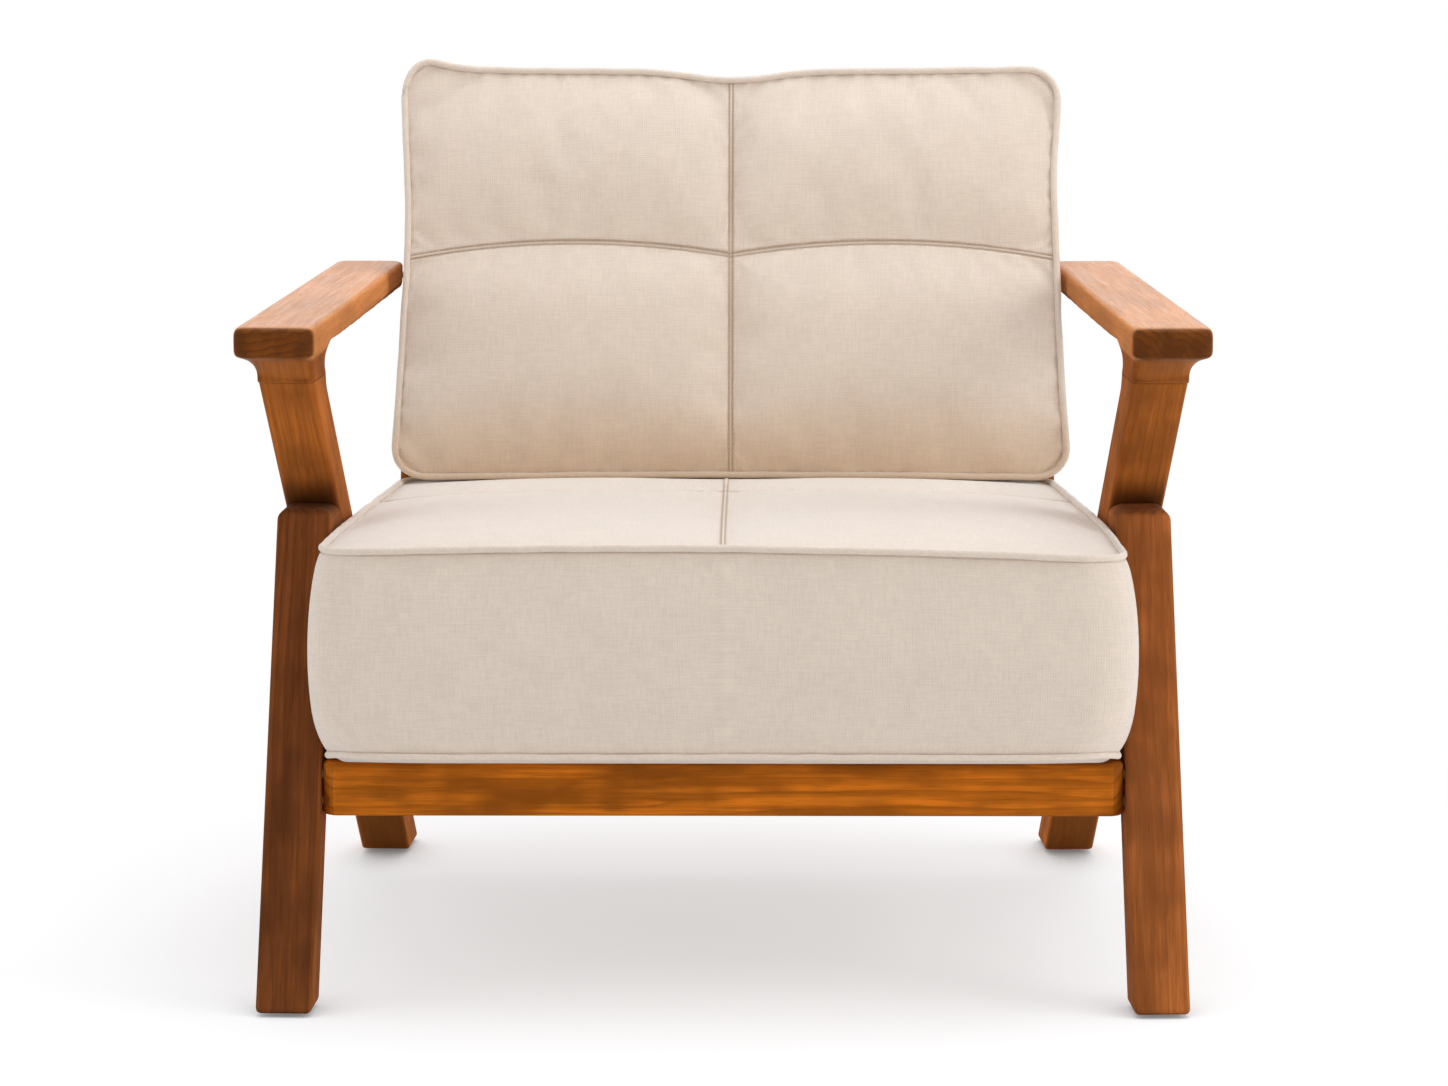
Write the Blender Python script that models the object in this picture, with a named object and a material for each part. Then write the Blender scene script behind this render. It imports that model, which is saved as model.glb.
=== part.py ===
"""Wooden lounge armchair with two loose boxed cushions.

Metres, +Z up. The chair faces -Y, left and right are as seen from the front, and the
origin lies on the floor under the middle of the chair. Each side frame is a long beam that
slants from the arm down to the rear foot, with a front leg set against its underside.
"""

import math

import bmesh
import bpy
from mathutils import Matrix, Vector

# Side frames: toed in towards the rear, heights from the floor, depths from the front feet
FOOT_SPAN = 0.7314  # outside to outside of the front feet
TOE_IN = 3.0  # degrees
TIMBER_WIDTH = 0.044
EDGE_ROUND = 0.004
LEG_DEPTH = 0.046
LEG_LEAN = 22.0  # degrees from upright
LEG_TOP_WIDTH = 0.040  # from the leg's front to the beam, along its top
LEG_TOP_ROUND = 0.010
LEG_TOP_CORNER = 0.010  # of the top, seen from the front
LEG_HEEL_ROUND = 0.040  # hollow behind the leg, under the beam
LEG_DOWEL_SHARES = {"outer": 0.32, "inner": 0.68}  # across the timber
BEAM_DEPTH = 0.042
BEAM_LEAN = 50.3  # degrees from upright
REAR_FOOT_REACH = 0.648  # front corner of the rear foot
GLIDE_HEIGHT = 0.003
GLIDE_CHAMFER = 0.001
GLIDE_RADIUS = 0.009
GLIDE_PIN_RADIUS = 0.002
GLIDE_PIN_LENGTH = 0.016

# Arms: flat paddles on a flared neck, falling a little and closing in towards the rear
ARM_OVERHANG = 0.0143  # beyond the outside of the feet, at the front
ARM_NOSE = 0.004  # in front of the beam's face
ARM_TAIL = 0.0306  # past the front of the back frame
ARM_WIDTH = 0.064
ARM_THICKNESS = 0.025
ARM_HEIGHT = 0.539  # top, at the front end
ARM_FALL = 0.7  # degrees
ARM_CORNER = 0.013
ARM_TOP_ROUND = 0.006  # upper edges
ARM_NECK_HEIGHT = 0.021
ARM_NECK_COVE = 0.011
ARM_NECK_ROOT = 0.008  # how far the neck runs up inside the paddle
ARM_NECK_INSET = 0.0025  # inside the paddle's inner face
ARM_HOLLOW = 0.018  # radius between the arm and the rear of the beam
ARM_DOWEL_SHARES = {"front": 0.46, "rear": 0.75}  # along the neck

# Seat frame
SEAT_TILT = 2.0  # degrees, falling to the rear
FRONT_RAIL_SETBACK = 0.001  # behind the middle of the legs' front
FRONT_RAIL_TOP = 0.190
FRONT_RAIL_HEIGHT = 0.043
FRONT_RAIL_DEPTH = 0.028
FRONT_RAIL_CORNER = 0.012
RAIL_DOWEL_SHARES = {"upper": 0.75, "lower": 0.25}  # up the front rail
SIDE_RAIL_THICKNESS = 0.022
SIDE_RAIL_HEIGHT = 0.032
SLAT_COUNT = 7
SLAT_WIDTH = 0.052
SLAT_THICKNESS = 0.014
SLAT_END_GAP = 0.004
CORNER_BLOCK = 0.040
CORNER_BLOCK_HEIGHT = 0.022

# Back frame, leaning in one plane behind the back cushion
BACK_LEAN = 20.2  # degrees from upright
BACK_FOOT_GAP = 0.0025  # between the uprights' feet and the beams
BACK_FOOT_DROP = 0.0233  # feet of the uprights, below the front end of the side rails
BACK_TOP_HEIGHT = 0.660
BACK_FRAME_OVERLAP = 0.0025  # uprights beyond the inner faces of the beams
UPRIGHT_WIDTH = 0.038
UPRIGHT_DEPTH = 0.030
UPRIGHT_TOP_ROUND = 0.012
BACK_RAIL_HEIGHT = 0.050
BACK_RAIL_DEPTH = 0.024
BACK_RAIL_RISE = 0.010  # lower rail above the uprights' feet
BACK_SLAT_COUNT = 5
BACK_SLAT_WIDTH = 0.042
BACK_SLAT_THICKNESS = 0.012
BACK_SLAT_TENON = 0.010

# Fixings
DOWEL_RADIUS = 0.004
DOWEL_LENGTH = 0.036
DOWEL_CHAMFER = 0.001
BOLT_RADIUS = 0.003
BOLT_HEAD_RADIUS = 0.0075
BOLT_HEAD_HEIGHT = 0.004
BOLT_SOCKET_RADIUS = 0.003
BOLT_SOCKET_DEPTH = 0.0025
BOLT_GRIP = 0.022  # length held in the timber at the far end

# Seat cushion
SEAT_OVERHANG = 0.068  # in front of the front rail
SEAT_REAR_GAP = 0.004
SEAT_SIDE_GAP = 0.0027
SEAT_BOXING = 0.168
SEAT_CROWN = 0.012
SEAT_BULGE = 0.006
SEAT_CROSS_SEAM = 0.385  # from the front edge
SEAT_SEAM_DEPTH = 0.006

# Back cushion
BACK_CUSHION_FLARE = 0.002  # foot, wider than the back frame
BACK_CUSHION_TAPER = 0.009  # top, narrower than the foot
BACK_CUSHION_WAIST = 0.004
BACK_CUSHION_HEIGHT = 0.372
BACK_BOXING = 0.116
BACK_CROWN = 0.022
BACK_BULGE = 0.003
BACK_CROSS_SEAM = 0.214  # up from the lower welt
BACK_SEAM_DEPTH = 0.015
BACK_SEAM_ARCH = 0.010  # rise of the cross seam half-way to each side
BACK_SEAM_DROOP = 0.020  # fall of the cross seam at the sides
BACK_TOP_DIP = 0.010

# Cushion making
CUSHION_CORNER = 0.026
CUSHION_DRAW = 0.003  # how far the edges pull in between the corners
CUSHION_SOLE = 0.007  # from the lower welt down to the resting face
CUSHION_SOLE_INSET = 0.012
BULGE_FULLNESS = 0.7
SEAM_SPREAD = 0.016
WADDING = 0.020  # cover and wadding round the foam
FOAM_ROUND = 0.012
ZIP_LENGTH = 0.340
ZIP_WIDTH = 0.010
ZIP_RECESS = 0.001
ZIP_PULL_LENGTH = 0.012
ZIP_PULL_DEPTH = 0.004

# Clearances
FIT_GAP = 0.0003  # between pieces that touch
END_GAP = 0.0004  # at the ends of the front rail
CUT_GAP = 0.0001  # by which a trimming outline clears the faces it leaves alone

# Facets
CRISP_ANGLE = math.radians(32)
ON_PLANE = 0.00001
ARC_STEPS = 6
ROUND_STEPS = 3
NECK_STEPS = 8
SOLE_STEPS = 2
BOXING_STEPS = 5
TURNED_SIDES = 16
PANEL_STEPS = 9
REST_STEPS = 12

# Sizes that follow from the ones above
FOOT_HALF = FOOT_SPAN / 2
LEG_SLOPE = math.tan(math.radians(LEG_LEAN))
BEAM_SLOPE = math.tan(math.radians(BEAM_LEAN))
BACK_SLOPE = math.tan(math.radians(BACK_LEAN))
SEAT_SLOPE = math.tan(math.radians(SEAT_TILT))
TOE_SLOPE = math.tan(math.radians(TOE_IN))
BEAM_RUN = BEAM_DEPTH / math.cos(math.radians(BEAM_LEAN))  # level length across the beam
LEG_RUN = LEG_DEPTH / math.cos(math.radians(LEG_LEAN))  # level length across the leg
TIMBER_RUN = TIMBER_WIDTH / math.cos(math.radians(TOE_IN))
BEAM_NORMAL = Vector((0, math.cos(math.radians(BEAM_LEAN)), math.sin(math.radians(BEAM_LEAN))))
BACK_NORMAL = Vector((0, math.cos(math.radians(BACK_LEAN)), -math.sin(math.radians(BACK_LEAN))))
BACK_RISE = Vector((0, math.sin(math.radians(BACK_LEAN)), math.cos(math.radians(BACK_LEAN))))
SIDES = {"left": -1, "right": 1}


# Lines that several pieces share, as depth at a height
def leg_front(height):
    return (height - GLIDE_HEIGHT) * LEG_SLOPE


def leg_rear(height):
    return leg_front(height) + LEG_RUN


def beam_front(height):
    return REAR_FOOT_REACH - (height - GLIDE_HEIGHT) * BEAM_SLOPE


def beam_rear(height):
    return beam_front(height) + BEAM_RUN


def back_front(height):
    return BACK_FOOT_START + (height - BACK_FOOT_HEIGHT) * BACK_SLOPE


def seat_level(depth):
    """Height of the deck, which starts at the rear edge of the front rail."""
    return FRONT_RAIL_TOP - (depth - DECK_START) * SEAT_SLOPE


def rail_middle(depth):
    """Height of the middle of the side rails."""
    return seat_level(depth) - SLAT_THICKNESS - FIT_GAP - SIDE_RAIL_HEIGHT / 2


def inner_half(depth):
    """Half the width between the inner faces of the side frames."""
    return FOOT_HALF - TIMBER_RUN - depth * TOE_SLOPE


def hollow():
    """Centre of the round hollow between the arm's underside and the rear of the beam."""
    height = ARM_UNDERSIDE - ARM_HOLLOW
    return beam_rear(height) + ARM_HOLLOW / math.cos(math.radians(BEAM_LEAN)), height


# Places that follow from those lines
LEG_HEIGHT = GLIDE_HEIGHT + (REAR_FOOT_REACH - LEG_TOP_WIDTH) / (LEG_SLOPE + BEAM_SLOPE)
FRONT_RAIL_MIDDLE = FRONT_RAIL_TOP - FRONT_RAIL_HEIGHT / 2
FRONT_RAIL_START = leg_front(FRONT_RAIL_MIDDLE) + FRONT_RAIL_SETBACK
DECK_START = FRONT_RAIL_START + FRONT_RAIL_DEPTH
BACK_FOOT_HEIGHT = FRONT_RAIL_TOP - SLAT_THICKNESS - SIDE_RAIL_HEIGHT - BACK_FOOT_DROP
BACK_FOOT_START = beam_rear(BACK_FOOT_HEIGHT) + BACK_FOOT_GAP
BACK_HALF = inner_half(BACK_FOOT_START) + BACK_FRAME_OVERLAP
ARM_UNDERSIDE = ARM_HEIGHT - ARM_THICKNESS
NECK_JOINT = ARM_UNDERSIDE - ARM_NECK_HEIGHT
ARM_HALF = FOOT_HALF + ARM_OVERHANG
ARM_START = beam_front(ARM_UNDERSIDE) - ARM_NOSE
ARM_REACH = back_front(ARM_UNDERSIDE) + ARM_TAIL - ARM_START
ARM_TOE_IN = math.atan((ARM_HALF - ARM_WIDTH - BACK_HALF - FIT_GAP) / ARM_REACH)
SEAT_FRONT = FRONT_RAIL_START - SEAT_OVERHANG


# Scene and materials
def clear_scene():
    for obj in list(bpy.data.objects):
        bpy.data.objects.remove(obj, do_unlink=True)


def finish(name, colour, roughness, metallic=0.0):
    mat = bpy.data.materials.new(name)
    mat.use_nodes = True
    shader = mat.node_tree.nodes["Principled BSDF"]
    shader.inputs["Base Color"].default_value = (*colour, 1)
    shader.inputs["Roughness"].default_value = roughness
    shader.inputs["Metallic"].default_value = metallic
    mat.diffuse_color = (*colour, 1)
    return mat


def empty(name, parent=None, location=(0, 0, 0), rotation=(0, 0, 0)):
    obj = bpy.data.objects.new(name, None)
    bpy.context.collection.objects.link(obj)
    obj.parent = parent
    obj.location = location
    obj.rotation_euler = rotation
    return obj


def piece(name, bm, mat, parent, matrix=Matrix()):
    """A closed mesh as a named object, its flat faces crisp and its curves smooth."""
    bmesh.ops.recalc_face_normals(bm, faces=bm.faces)
    mesh = bpy.data.meshes.new(name)
    bm.to_mesh(mesh)
    bm.free()
    mesh.shade_smooth()
    mesh.set_sharp_from_angle(angle=CRISP_ANGLE)
    mesh.materials.append(mat)
    obj = bpy.data.objects.new(name, mesh)
    bpy.context.collection.objects.link(obj)
    obj.parent = parent
    obj.matrix_local = matrix
    return obj


def helper(obj):
    """Turns an object into a tool for cuts and joins that is no piece itself."""
    obj.hide_render = True
    obj.display_type = "WIRE"
    return obj


def combine(obj, tool, operation):
    change = obj.modifiers.new(f"{operation.lower()}_{tool.name}"[:60], "BOOLEAN")
    change.operation = operation
    change.solver = "EXACT"
    change.object = tool


# Shapes
def arc(centre, radius, start, end, steps=ARC_STEPS):
    """Points on an arc from one angle to another, in radians."""
    angles = (start + (end - start) * i / steps for i in range(steps + 1))
    return [(centre[0] + radius * math.cos(a), centre[1] + radius * math.sin(a)) for a in angles]


def corner(before, point, after, radius, steps=ARC_STEPS):
    """Points of a fillet that rounds an outline's corner."""
    towards_before = (Vector(before) - Vector(point)).normalized()
    towards_after = (Vector(after) - Vector(point)).normalized()
    half = towards_before.angle(towards_after) / 2
    middle = (towards_before + towards_after).normalized()
    centre = Vector(point) + middle * radius / math.sin(half)
    first = Vector(point) + towards_before * radius / math.tan(half) - centre
    last = Vector(point) + towards_after * radius / math.tan(half) - centre
    sweep = first.angle_signed(last)
    begin = math.atan2(first.y, first.x)
    return arc(centre, radius, begin, begin - sweep, steps)


def rounded_outline(points, radii):
    """A closed outline with each of its corners rounded to a radius of its own."""
    outline = []
    for i, point in enumerate(points):
        outline += corner(points[i - 1], point, points[(i + 1) % len(points)], radii[i])
    return outline


def extruded(outline, low, high, place):
    """A prism: the outline at two levels, with place(a, b, level) giving each point."""
    bm = bmesh.new()
    ends = [[bm.verts.new(place(a, b, level)) for a, b in outline] for level in (low, high)]
    count = len(outline)
    for ring in ends:
        bm.faces.new(ring)
    for i in range(count):
        bm.faces.new((ends[0][i], ends[0][(i + 1) % count], ends[1][(i + 1) % count], ends[1][i]))
    bmesh.ops.recalc_face_normals(bm, faces=bm.faces)
    return bm


def across(outline, low, high):
    """A prism along X of an outline in Y and Z."""
    return extruded(outline, low, high, lambda a, b, level: (level, a, b))


def upward(outline, low, high):
    """A prism along Z of an outline in X and Y."""
    return extruded(outline, low, high, lambda a, b, level: (a, b, level))


def block(low, high):
    outline = [(low[0], low[1]), (high[0], low[1]), (high[0], high[1]), (low[0], high[1])]
    return upward(outline, low[2], high[2])


def rounded(bm, radius, mating=(), steps=ROUND_STEPS):
    """Rounds the crisp edges, but not those that lie on a mating plane (normal, offset)."""
    def meets(edge):
        return any(all(abs(v.co.dot(n) - d) < ON_PLANE for v in edge.verts) for n, d in mating)

    crisp = [e for e in bm.edges if e.calc_face_angle(0) > CRISP_ANGLE and not meets(e)]
    bmesh.ops.bevel(
        bm, geom=crisp, offset=radius, offset_type="OFFSET", segments=steps, profile=0.5, affect="EDGES"
    )
    return bm


def lofted(rings):
    """A closed skin through rings of as many points each, capped at both ends."""
    bm = bmesh.new()
    loops = [[bm.verts.new(p) for p in ring] for ring in rings]
    count = len(loops[0])
    for lower, upper in zip(loops, loops[1:]):
        for i in range(count):
            bm.faces.new((lower[i], lower[(i + 1) % count], upper[(i + 1) % count], upper[i]))
    bm.faces.new(loops[0])
    bm.faces.new(loops[-1])
    return bm


def turned(profile, sides=TURNED_SIDES):
    """A solid of revolution about Z from (radius, height) points."""
    turns = [2 * math.pi * i / sides for i in range(sides)]
    return lofted([[(r * math.cos(a), r * math.sin(a), h) for a in turns] for r, h in profile])


def along(origin, axis):
    """A frame whose Z runs along the axis."""
    return Matrix.Translation(origin) @ Vector(axis).to_track_quat("Z", "Y").to_matrix().to_4x4()


# Fixings, each with a socket in the pieces that it joins
def drilled(name, profile, parent, matrix, members):
    """Cuts the turned profile, grown by the gap, out of the members."""
    grown = []
    lowest, highest = min(h for r, h in profile), max(h for r, h in profile)
    for r, h in profile:
        step = FIT_GAP if h == highest else -FIT_GAP if h == lowest else 0
        grown.append((r + FIT_GAP, h + step))
    tool = helper(piece(name, turned(grown), None, parent, matrix))
    for member in members:
        combine(member, tool, "DIFFERENCE")


def dowel(name, parent, origin, axis, members):
    """A dowel centred on the joint at its origin."""
    half = DOWEL_LENGTH / 2
    bare = DOWEL_RADIUS - DOWEL_CHAMFER
    shape = [
        (bare, -half),
        (DOWEL_RADIUS, DOWEL_CHAMFER - half),
        (DOWEL_RADIUS, half - DOWEL_CHAMFER),
        (bare, half),
    ]
    matrix = along(origin, axis)
    piece(name, turned(shape), FINISHES["dowel"], parent, matrix)
    drilled(f"{name}_socket", [(DOWEL_RADIUS, -half), (DOWEL_RADIUS, half)], parent, matrix, members)


def bolt(name, parent, origin, axis, clamped, members):
    """A socket-head bolt whose head rests at the origin and whose shank runs along the axis."""
    length = clamped + BOLT_GRIP
    shape = [
        (BOLT_SOCKET_RADIUS, BOLT_SOCKET_DEPTH - BOLT_HEAD_HEIGHT),
        (BOLT_SOCKET_RADIUS, -BOLT_HEAD_HEIGHT),
        (BOLT_HEAD_RADIUS, -BOLT_HEAD_HEIGHT),
        (BOLT_HEAD_RADIUS, -FIT_GAP),
        (BOLT_RADIUS, -FIT_GAP),
        (BOLT_RADIUS, length),
    ]
    matrix = along(origin, axis)
    piece(name, turned(shape), FINISHES["steel"], parent, matrix)
    hole = [(BOLT_RADIUS, -BOLT_HEAD_HEIGHT), (BOLT_RADIUS, length)]
    drilled(f"{name}_hole", hole, parent, matrix, members)


def glide(name, side, parent, reach, foot):
    """A nylon glide under a foot, with its pin pressed up into the end grain."""
    floor = -GLIDE_HEIGHT
    shape = [
        (GLIDE_RADIUS - GLIDE_CHAMFER, floor),
        (GLIDE_RADIUS, floor + GLIDE_CHAMFER),
        (GLIDE_RADIUS, -FIT_GAP),
        (GLIDE_PIN_RADIUS, -FIT_GAP),
        (GLIDE_PIN_RADIUS, GLIDE_PIN_LENGTH),
    ]
    matrix = Matrix.Translation((-side * TIMBER_WIDTH / 2, reach, GLIDE_HEIGHT))
    piece(name, turned(shape), FINISHES["nylon"], parent, matrix)
    hole = [(GLIDE_PIN_RADIUS, floor), (GLIDE_PIN_RADIUS, GLIDE_PIN_LENGTH)]
    drilled(f"{name}_hole", hole, parent, matrix, [foot])


# Side frames, drawn in a frame whose X is the outer face and whose Y runs back along it
def side_beam(name, side, parent):
    centre = hollow()
    lower = math.radians(BEAM_LEAN) + math.pi
    upper = math.pi - math.asin((NECK_JOINT - centre[1]) / ARM_HOLLOW)
    outline = [
        (beam_front(GLIDE_HEIGHT), GLIDE_HEIGHT),
        (beam_rear(GLIDE_HEIGHT), GLIDE_HEIGHT),
        *arc(centre, ARM_HOLLOW, lower, upper),
        (beam_front(NECK_JOINT), NECK_JOINT),
    ]
    bm = across(outline, 0, -side * TIMBER_WIDTH)
    rounded(bm, EDGE_ROUND, [(Vector((0, 0, 1)), NECK_JOINT)])
    return piece(name, bm, FINISHES["wood"], parent)


def front_leg(name, side, parent):
    """A leaning leg with a rounded top, hollowed where its heel runs out under the beam."""
    def under(height):
        return beam_front(height) - FIT_GAP / math.cos(math.radians(BEAM_LEAN))

    foot = GLIDE_HEIGHT
    crossing = (under(foot) - leg_rear(foot)) / (LEG_SLOPE + BEAM_SLOPE) + foot
    heel = (leg_rear(crossing), crossing)
    lip = corner((under(foot), foot), heel, (leg_rear(foot), foot), LEG_HEEL_ROUND)
    top = (leg_front(LEG_HEIGHT), LEG_HEIGHT)
    ledge = (under(LEG_HEIGHT), LEG_HEIGHT)
    outline = [
        (leg_front(foot), foot),
        *corner((leg_front(foot), foot), top, ledge, LEG_TOP_ROUND),
        ledge,
        *lip,
        (leg_rear(foot), foot),
    ]
    bm = across(outline, 0, -side * TIMBER_WIDTH)
    contact = Vector((0, ledge[0], ledge[1])).dot(BEAM_NORMAL)
    rounded(bm, EDGE_ROUND, [(BEAM_NORMAL, contact)])
    leg = piece(name, bm, FINISHES["wood"], parent)
    combine(leg, leg_outline(f"{name}_outline", side, parent), "INTERSECT")
    return leg


def leg_outline(name, side, parent):
    """The leg's outline from the front, its top corners rounded, to trim the leg with."""
    outer, inner = side * CUT_GAP, -side * (TIMBER_WIDTH + CUT_GAP)
    top = LEG_HEIGHT + CUT_GAP
    outline = [
        (outer, 0),
        (inner, 0),
        *corner((inner, 0), (inner, top), (outer, top), LEG_TOP_CORNER),
        *corner((inner, top), (outer, top), (outer, 0), LEG_TOP_CORNER),
    ]
    bm = extruded(outline, -LEG_RUN, REAR_FOOT_REACH, lambda a, b, level: (a, level, b))
    return helper(piece(name, bm, FINISHES["wood"], parent))


def arm_neck(name, side, parent):
    """The flared neck under the arm, lofted from the beam's end up into the paddle."""
    centre = hollow()
    flare = ARM_WIDTH - ARM_OVERHANG - ARM_START * TOE_SLOPE - TIMBER_WIDTH - ARM_NECK_INSET
    swing = math.tan(math.radians(TOE_IN) - ARM_TOE_IN)
    lowest = math.asin((NECK_JOINT + FIT_GAP - centre[1]) / ARM_HOLLOW)
    rings = []
    for i in range(NECK_STEPS + 1):
        turn = lowest + (math.pi / 2 - lowest) * i / NECK_STEPS
        height = centre[1] + ARM_HOLLOW * math.sin(turn)
        share = (height - NECK_JOINT) / ARM_NECK_HEIGHT
        rise = max(0.0, height - (ARM_UNDERSIDE - ARM_NECK_COVE)) / ARM_NECK_COVE
        outer = side * ARM_NECK_COVE * (1 - math.sqrt(1 - min(rise, 1.0) ** 2))
        plan = []
        for depth in (beam_front(height), centre[0] - ARM_HOLLOW * math.cos(turn)):
            reach = (flare - (depth - ARM_START) * swing) * share**2
            plan.append([(outer, depth), (-side * (TIMBER_WIDTH + reach), depth)])
        radii = [EDGE_ROUND, EDGE_ROUND + (ARM_CORNER - EDGE_ROUND) * share, EDGE_ROUND, EDGE_ROUND]
        ring = rounded_outline([*plan[0], *reversed(plan[1])], radii)
        rings.append([(x, y, height) for x, y in ring])
    rings.append([(x, y, ARM_UNDERSIDE + ARM_NECK_ROOT) for x, y, _ in rings[-1]])
    return helper(piece(name, lofted(rings), FINISHES["wood"], parent))


def armrest(name, side, chair, frame):
    root = empty(
        f"{name}_place",
        chair,
        (side * ARM_HALF, ARM_START, ARM_HEIGHT),
        (-math.radians(ARM_FALL), 0, side * ARM_TOE_IN),
    )
    length = ARM_REACH / math.cos(ARM_TOE_IN)
    plan = [(0, 0), (-side * ARM_WIDTH, 0), (-side * ARM_WIDTH, length), (0, length)]
    bm = upward(rounded_outline(plan, [ARM_CORNER] * len(plan)), -ARM_THICKNESS, 0)
    rounded(bm, ARM_TOP_ROUND, [(Vector((0, 0, 1)), -ARM_THICKNESS)])
    rounded(bm, EDGE_ROUND)
    arm = piece(name, bm, FINISHES["arm_wood"], root)
    combine(arm, arm_neck(f"{name}_neck", side, frame), "UNION")
    return arm


def side_frame(word, side, chair):
    root = empty(
        f"{word}_side_frame", chair, (side * FOOT_HALF, 0, 0), (0, 0, side * math.radians(TOE_IN))
    )
    beam = side_beam(f"{word}_beam", side, root)
    leg = front_leg(f"{word}_front_leg", side, root)
    arm = armrest(f"{word}_armrest", side, chair, root)
    glide(f"{word}_front_glide", side, root, leg_front(GLIDE_HEIGHT) + LEG_RUN / 2, leg)
    glide(f"{word}_rear_glide", side, root, beam_front(GLIDE_HEIGHT) + BEAM_RUN / 2, beam)
    joint = LEG_HEIGHT - 2 * DOWEL_RADIUS
    for place, share in LEG_DOWEL_SHARES.items():
        origin = (-side * TIMBER_WIDTH * share, beam_front(joint), joint)
        dowel(f"{word}_leg_dowel_{place}", root, origin, BEAM_NORMAL, [leg, beam])
    neck = (beam_front(NECK_JOINT), hollow()[0] - ARM_HOLLOW)
    for place, share in ARM_DOWEL_SHARES.items():
        depth = neck[0] + (neck[1] - neck[0]) * share
        origin = (-side * TIMBER_WIDTH / 2, depth, NECK_JOINT)
        dowel(f"{word}_arm_dowel_{place}", root, origin, (0, 0, 1), [arm, beam])
    return root, beam, leg, arm


# Seat frame
def front_rail(chair):
    """The rail between the front legs, its ends cut to the toe-in and rounded at the front."""
    front, rear = FRONT_RAIL_START, DECK_START
    half_front, half_rear = inner_half(front) - END_GAP, inner_half(rear) - END_GAP
    plan = [(-half_front, front), (half_front, front), (half_rear, rear), (-half_rear, rear)]
    outline = [
        *corner(plan[3], plan[0], plan[1], FRONT_RAIL_CORNER),
        *corner(plan[0], plan[1], plan[2], FRONT_RAIL_CORNER),
        plan[2],
        plan[3],
    ]
    bm = upward(outline, FRONT_RAIL_TOP - FRONT_RAIL_HEIGHT, FRONT_RAIL_TOP)
    return piece("front_rail", rounded(bm, EDGE_ROUND), FINISHES["rail_wood"], chair)


def side_rail(name, side, parent):
    """A rail along the inner faces of the leg and the beam, cut at its rear to the back's lean."""
    outer = TIMBER_WIDTH + FIT_GAP
    toe = math.radians(TOE_IN)
    front = (DECK_START + FIT_GAP + (outer + SIDE_RAIL_THICKNESS) * math.sin(toe)) / math.cos(toe)

    def rear(height):
        depth = back_front(height) - FIT_GAP / math.cos(math.radians(BACK_LEAN))
        return (depth + outer * math.sin(toe)) / math.cos(toe)

    top_front = rail_middle(front) + SIDE_RAIL_HEIGHT / 2
    top_rear = rail_middle(back_front(FRONT_RAIL_TOP)) + SIDE_RAIL_HEIGHT / 2
    outline = [
        (front, top_front - SIDE_RAIL_HEIGHT),
        (rear(top_rear - SIDE_RAIL_HEIGHT), top_rear - SIDE_RAIL_HEIGHT),
        (rear(top_rear), top_rear),
        (front, top_front),
    ]
    bm = rounded(across(outline, -side * outer, -side * (outer + SIDE_RAIL_THICKNESS)), EDGE_ROUND / 2)
    return piece(name, bm, FINISHES["rail_wood"], parent)


def seat_slats(chair):
    first = DECK_START + FIT_GAP
    deck_end = back_front(seat_level(BACK_FOOT_START) - SLAT_THICKNESS)
    last = deck_end - SLAT_WIDTH - SLAT_END_GAP
    pitch = (last - first - SLAT_END_GAP) / (SLAT_COUNT - 1)
    for i in range(SLAT_COUNT):
        start = first + SLAT_END_GAP + i * pitch
        half = inner_half(start + SLAT_WIDTH) - SLAT_END_GAP
        bm = rounded(block((-half, 0, -SLAT_THICKNESS), (half, SLAT_WIDTH, 0)), EDGE_ROUND / 2, steps=2)
        tilt = Matrix.Rotation(-math.radians(SEAT_TILT), 4, "X")
        matrix = Matrix.Translation((0, start, seat_level(start))) @ tilt
        piece(f"seat_slat_{i + 1}", bm, FINISHES["slat_wood"], chair, matrix)


def corner_block(name, side, chair):
    """A triangular brace in the corner of the front rail and a side rail."""
    front = DECK_START + FIT_GAP
    rear = front + CORNER_BLOCK
    rail = SIDE_RAIL_THICKNESS + 2 * FIT_GAP
    near = inner_half(front) - rail / math.cos(math.radians(TOE_IN))
    far = inner_half(rear) - rail / math.cos(math.radians(TOE_IN))
    outline = [(side * near, front), (side * far, rear), (side * (near - CORNER_BLOCK), front)]
    top = seat_level(rear) - SLAT_THICKNESS - SLAT_END_GAP
    bm = rounded(upward(outline, top - CORNER_BLOCK_HEIGHT, top), EDGE_ROUND / 4, steps=1)
    return piece(name, bm, FINISHES["slat_wood"], chair)


# Back frame, drawn in a frame whose Z runs up the lean and whose Y runs out of the back
def back_place(chair):
    return empty(
        "back_place", chair, (0, BACK_FOOT_START, BACK_FOOT_HEIGHT), (-math.radians(BACK_LEAN), 0, 0)
    )


def up_the_back(height):
    return (height - BACK_FOOT_HEIGHT) / math.cos(math.radians(BACK_LEAN))


def upright(name, side, back):
    outer = BACK_HALF
    top = up_the_back(BACK_TOP_HEIGHT)
    outline = [
        (0, 0),
        (UPRIGHT_DEPTH, 0),
        *corner((UPRIGHT_DEPTH, 0), (UPRIGHT_DEPTH, top), (0, top), UPRIGHT_TOP_ROUND),
        *corner((UPRIGHT_DEPTH, top), (0, top), (0, 0), UPRIGHT_TOP_ROUND),
    ]
    bm = rounded(across(outline, side * (outer - UPRIGHT_WIDTH), side * outer), EDGE_ROUND / 2)
    return piece(name, bm, FINISHES["wood"], back)


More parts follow.
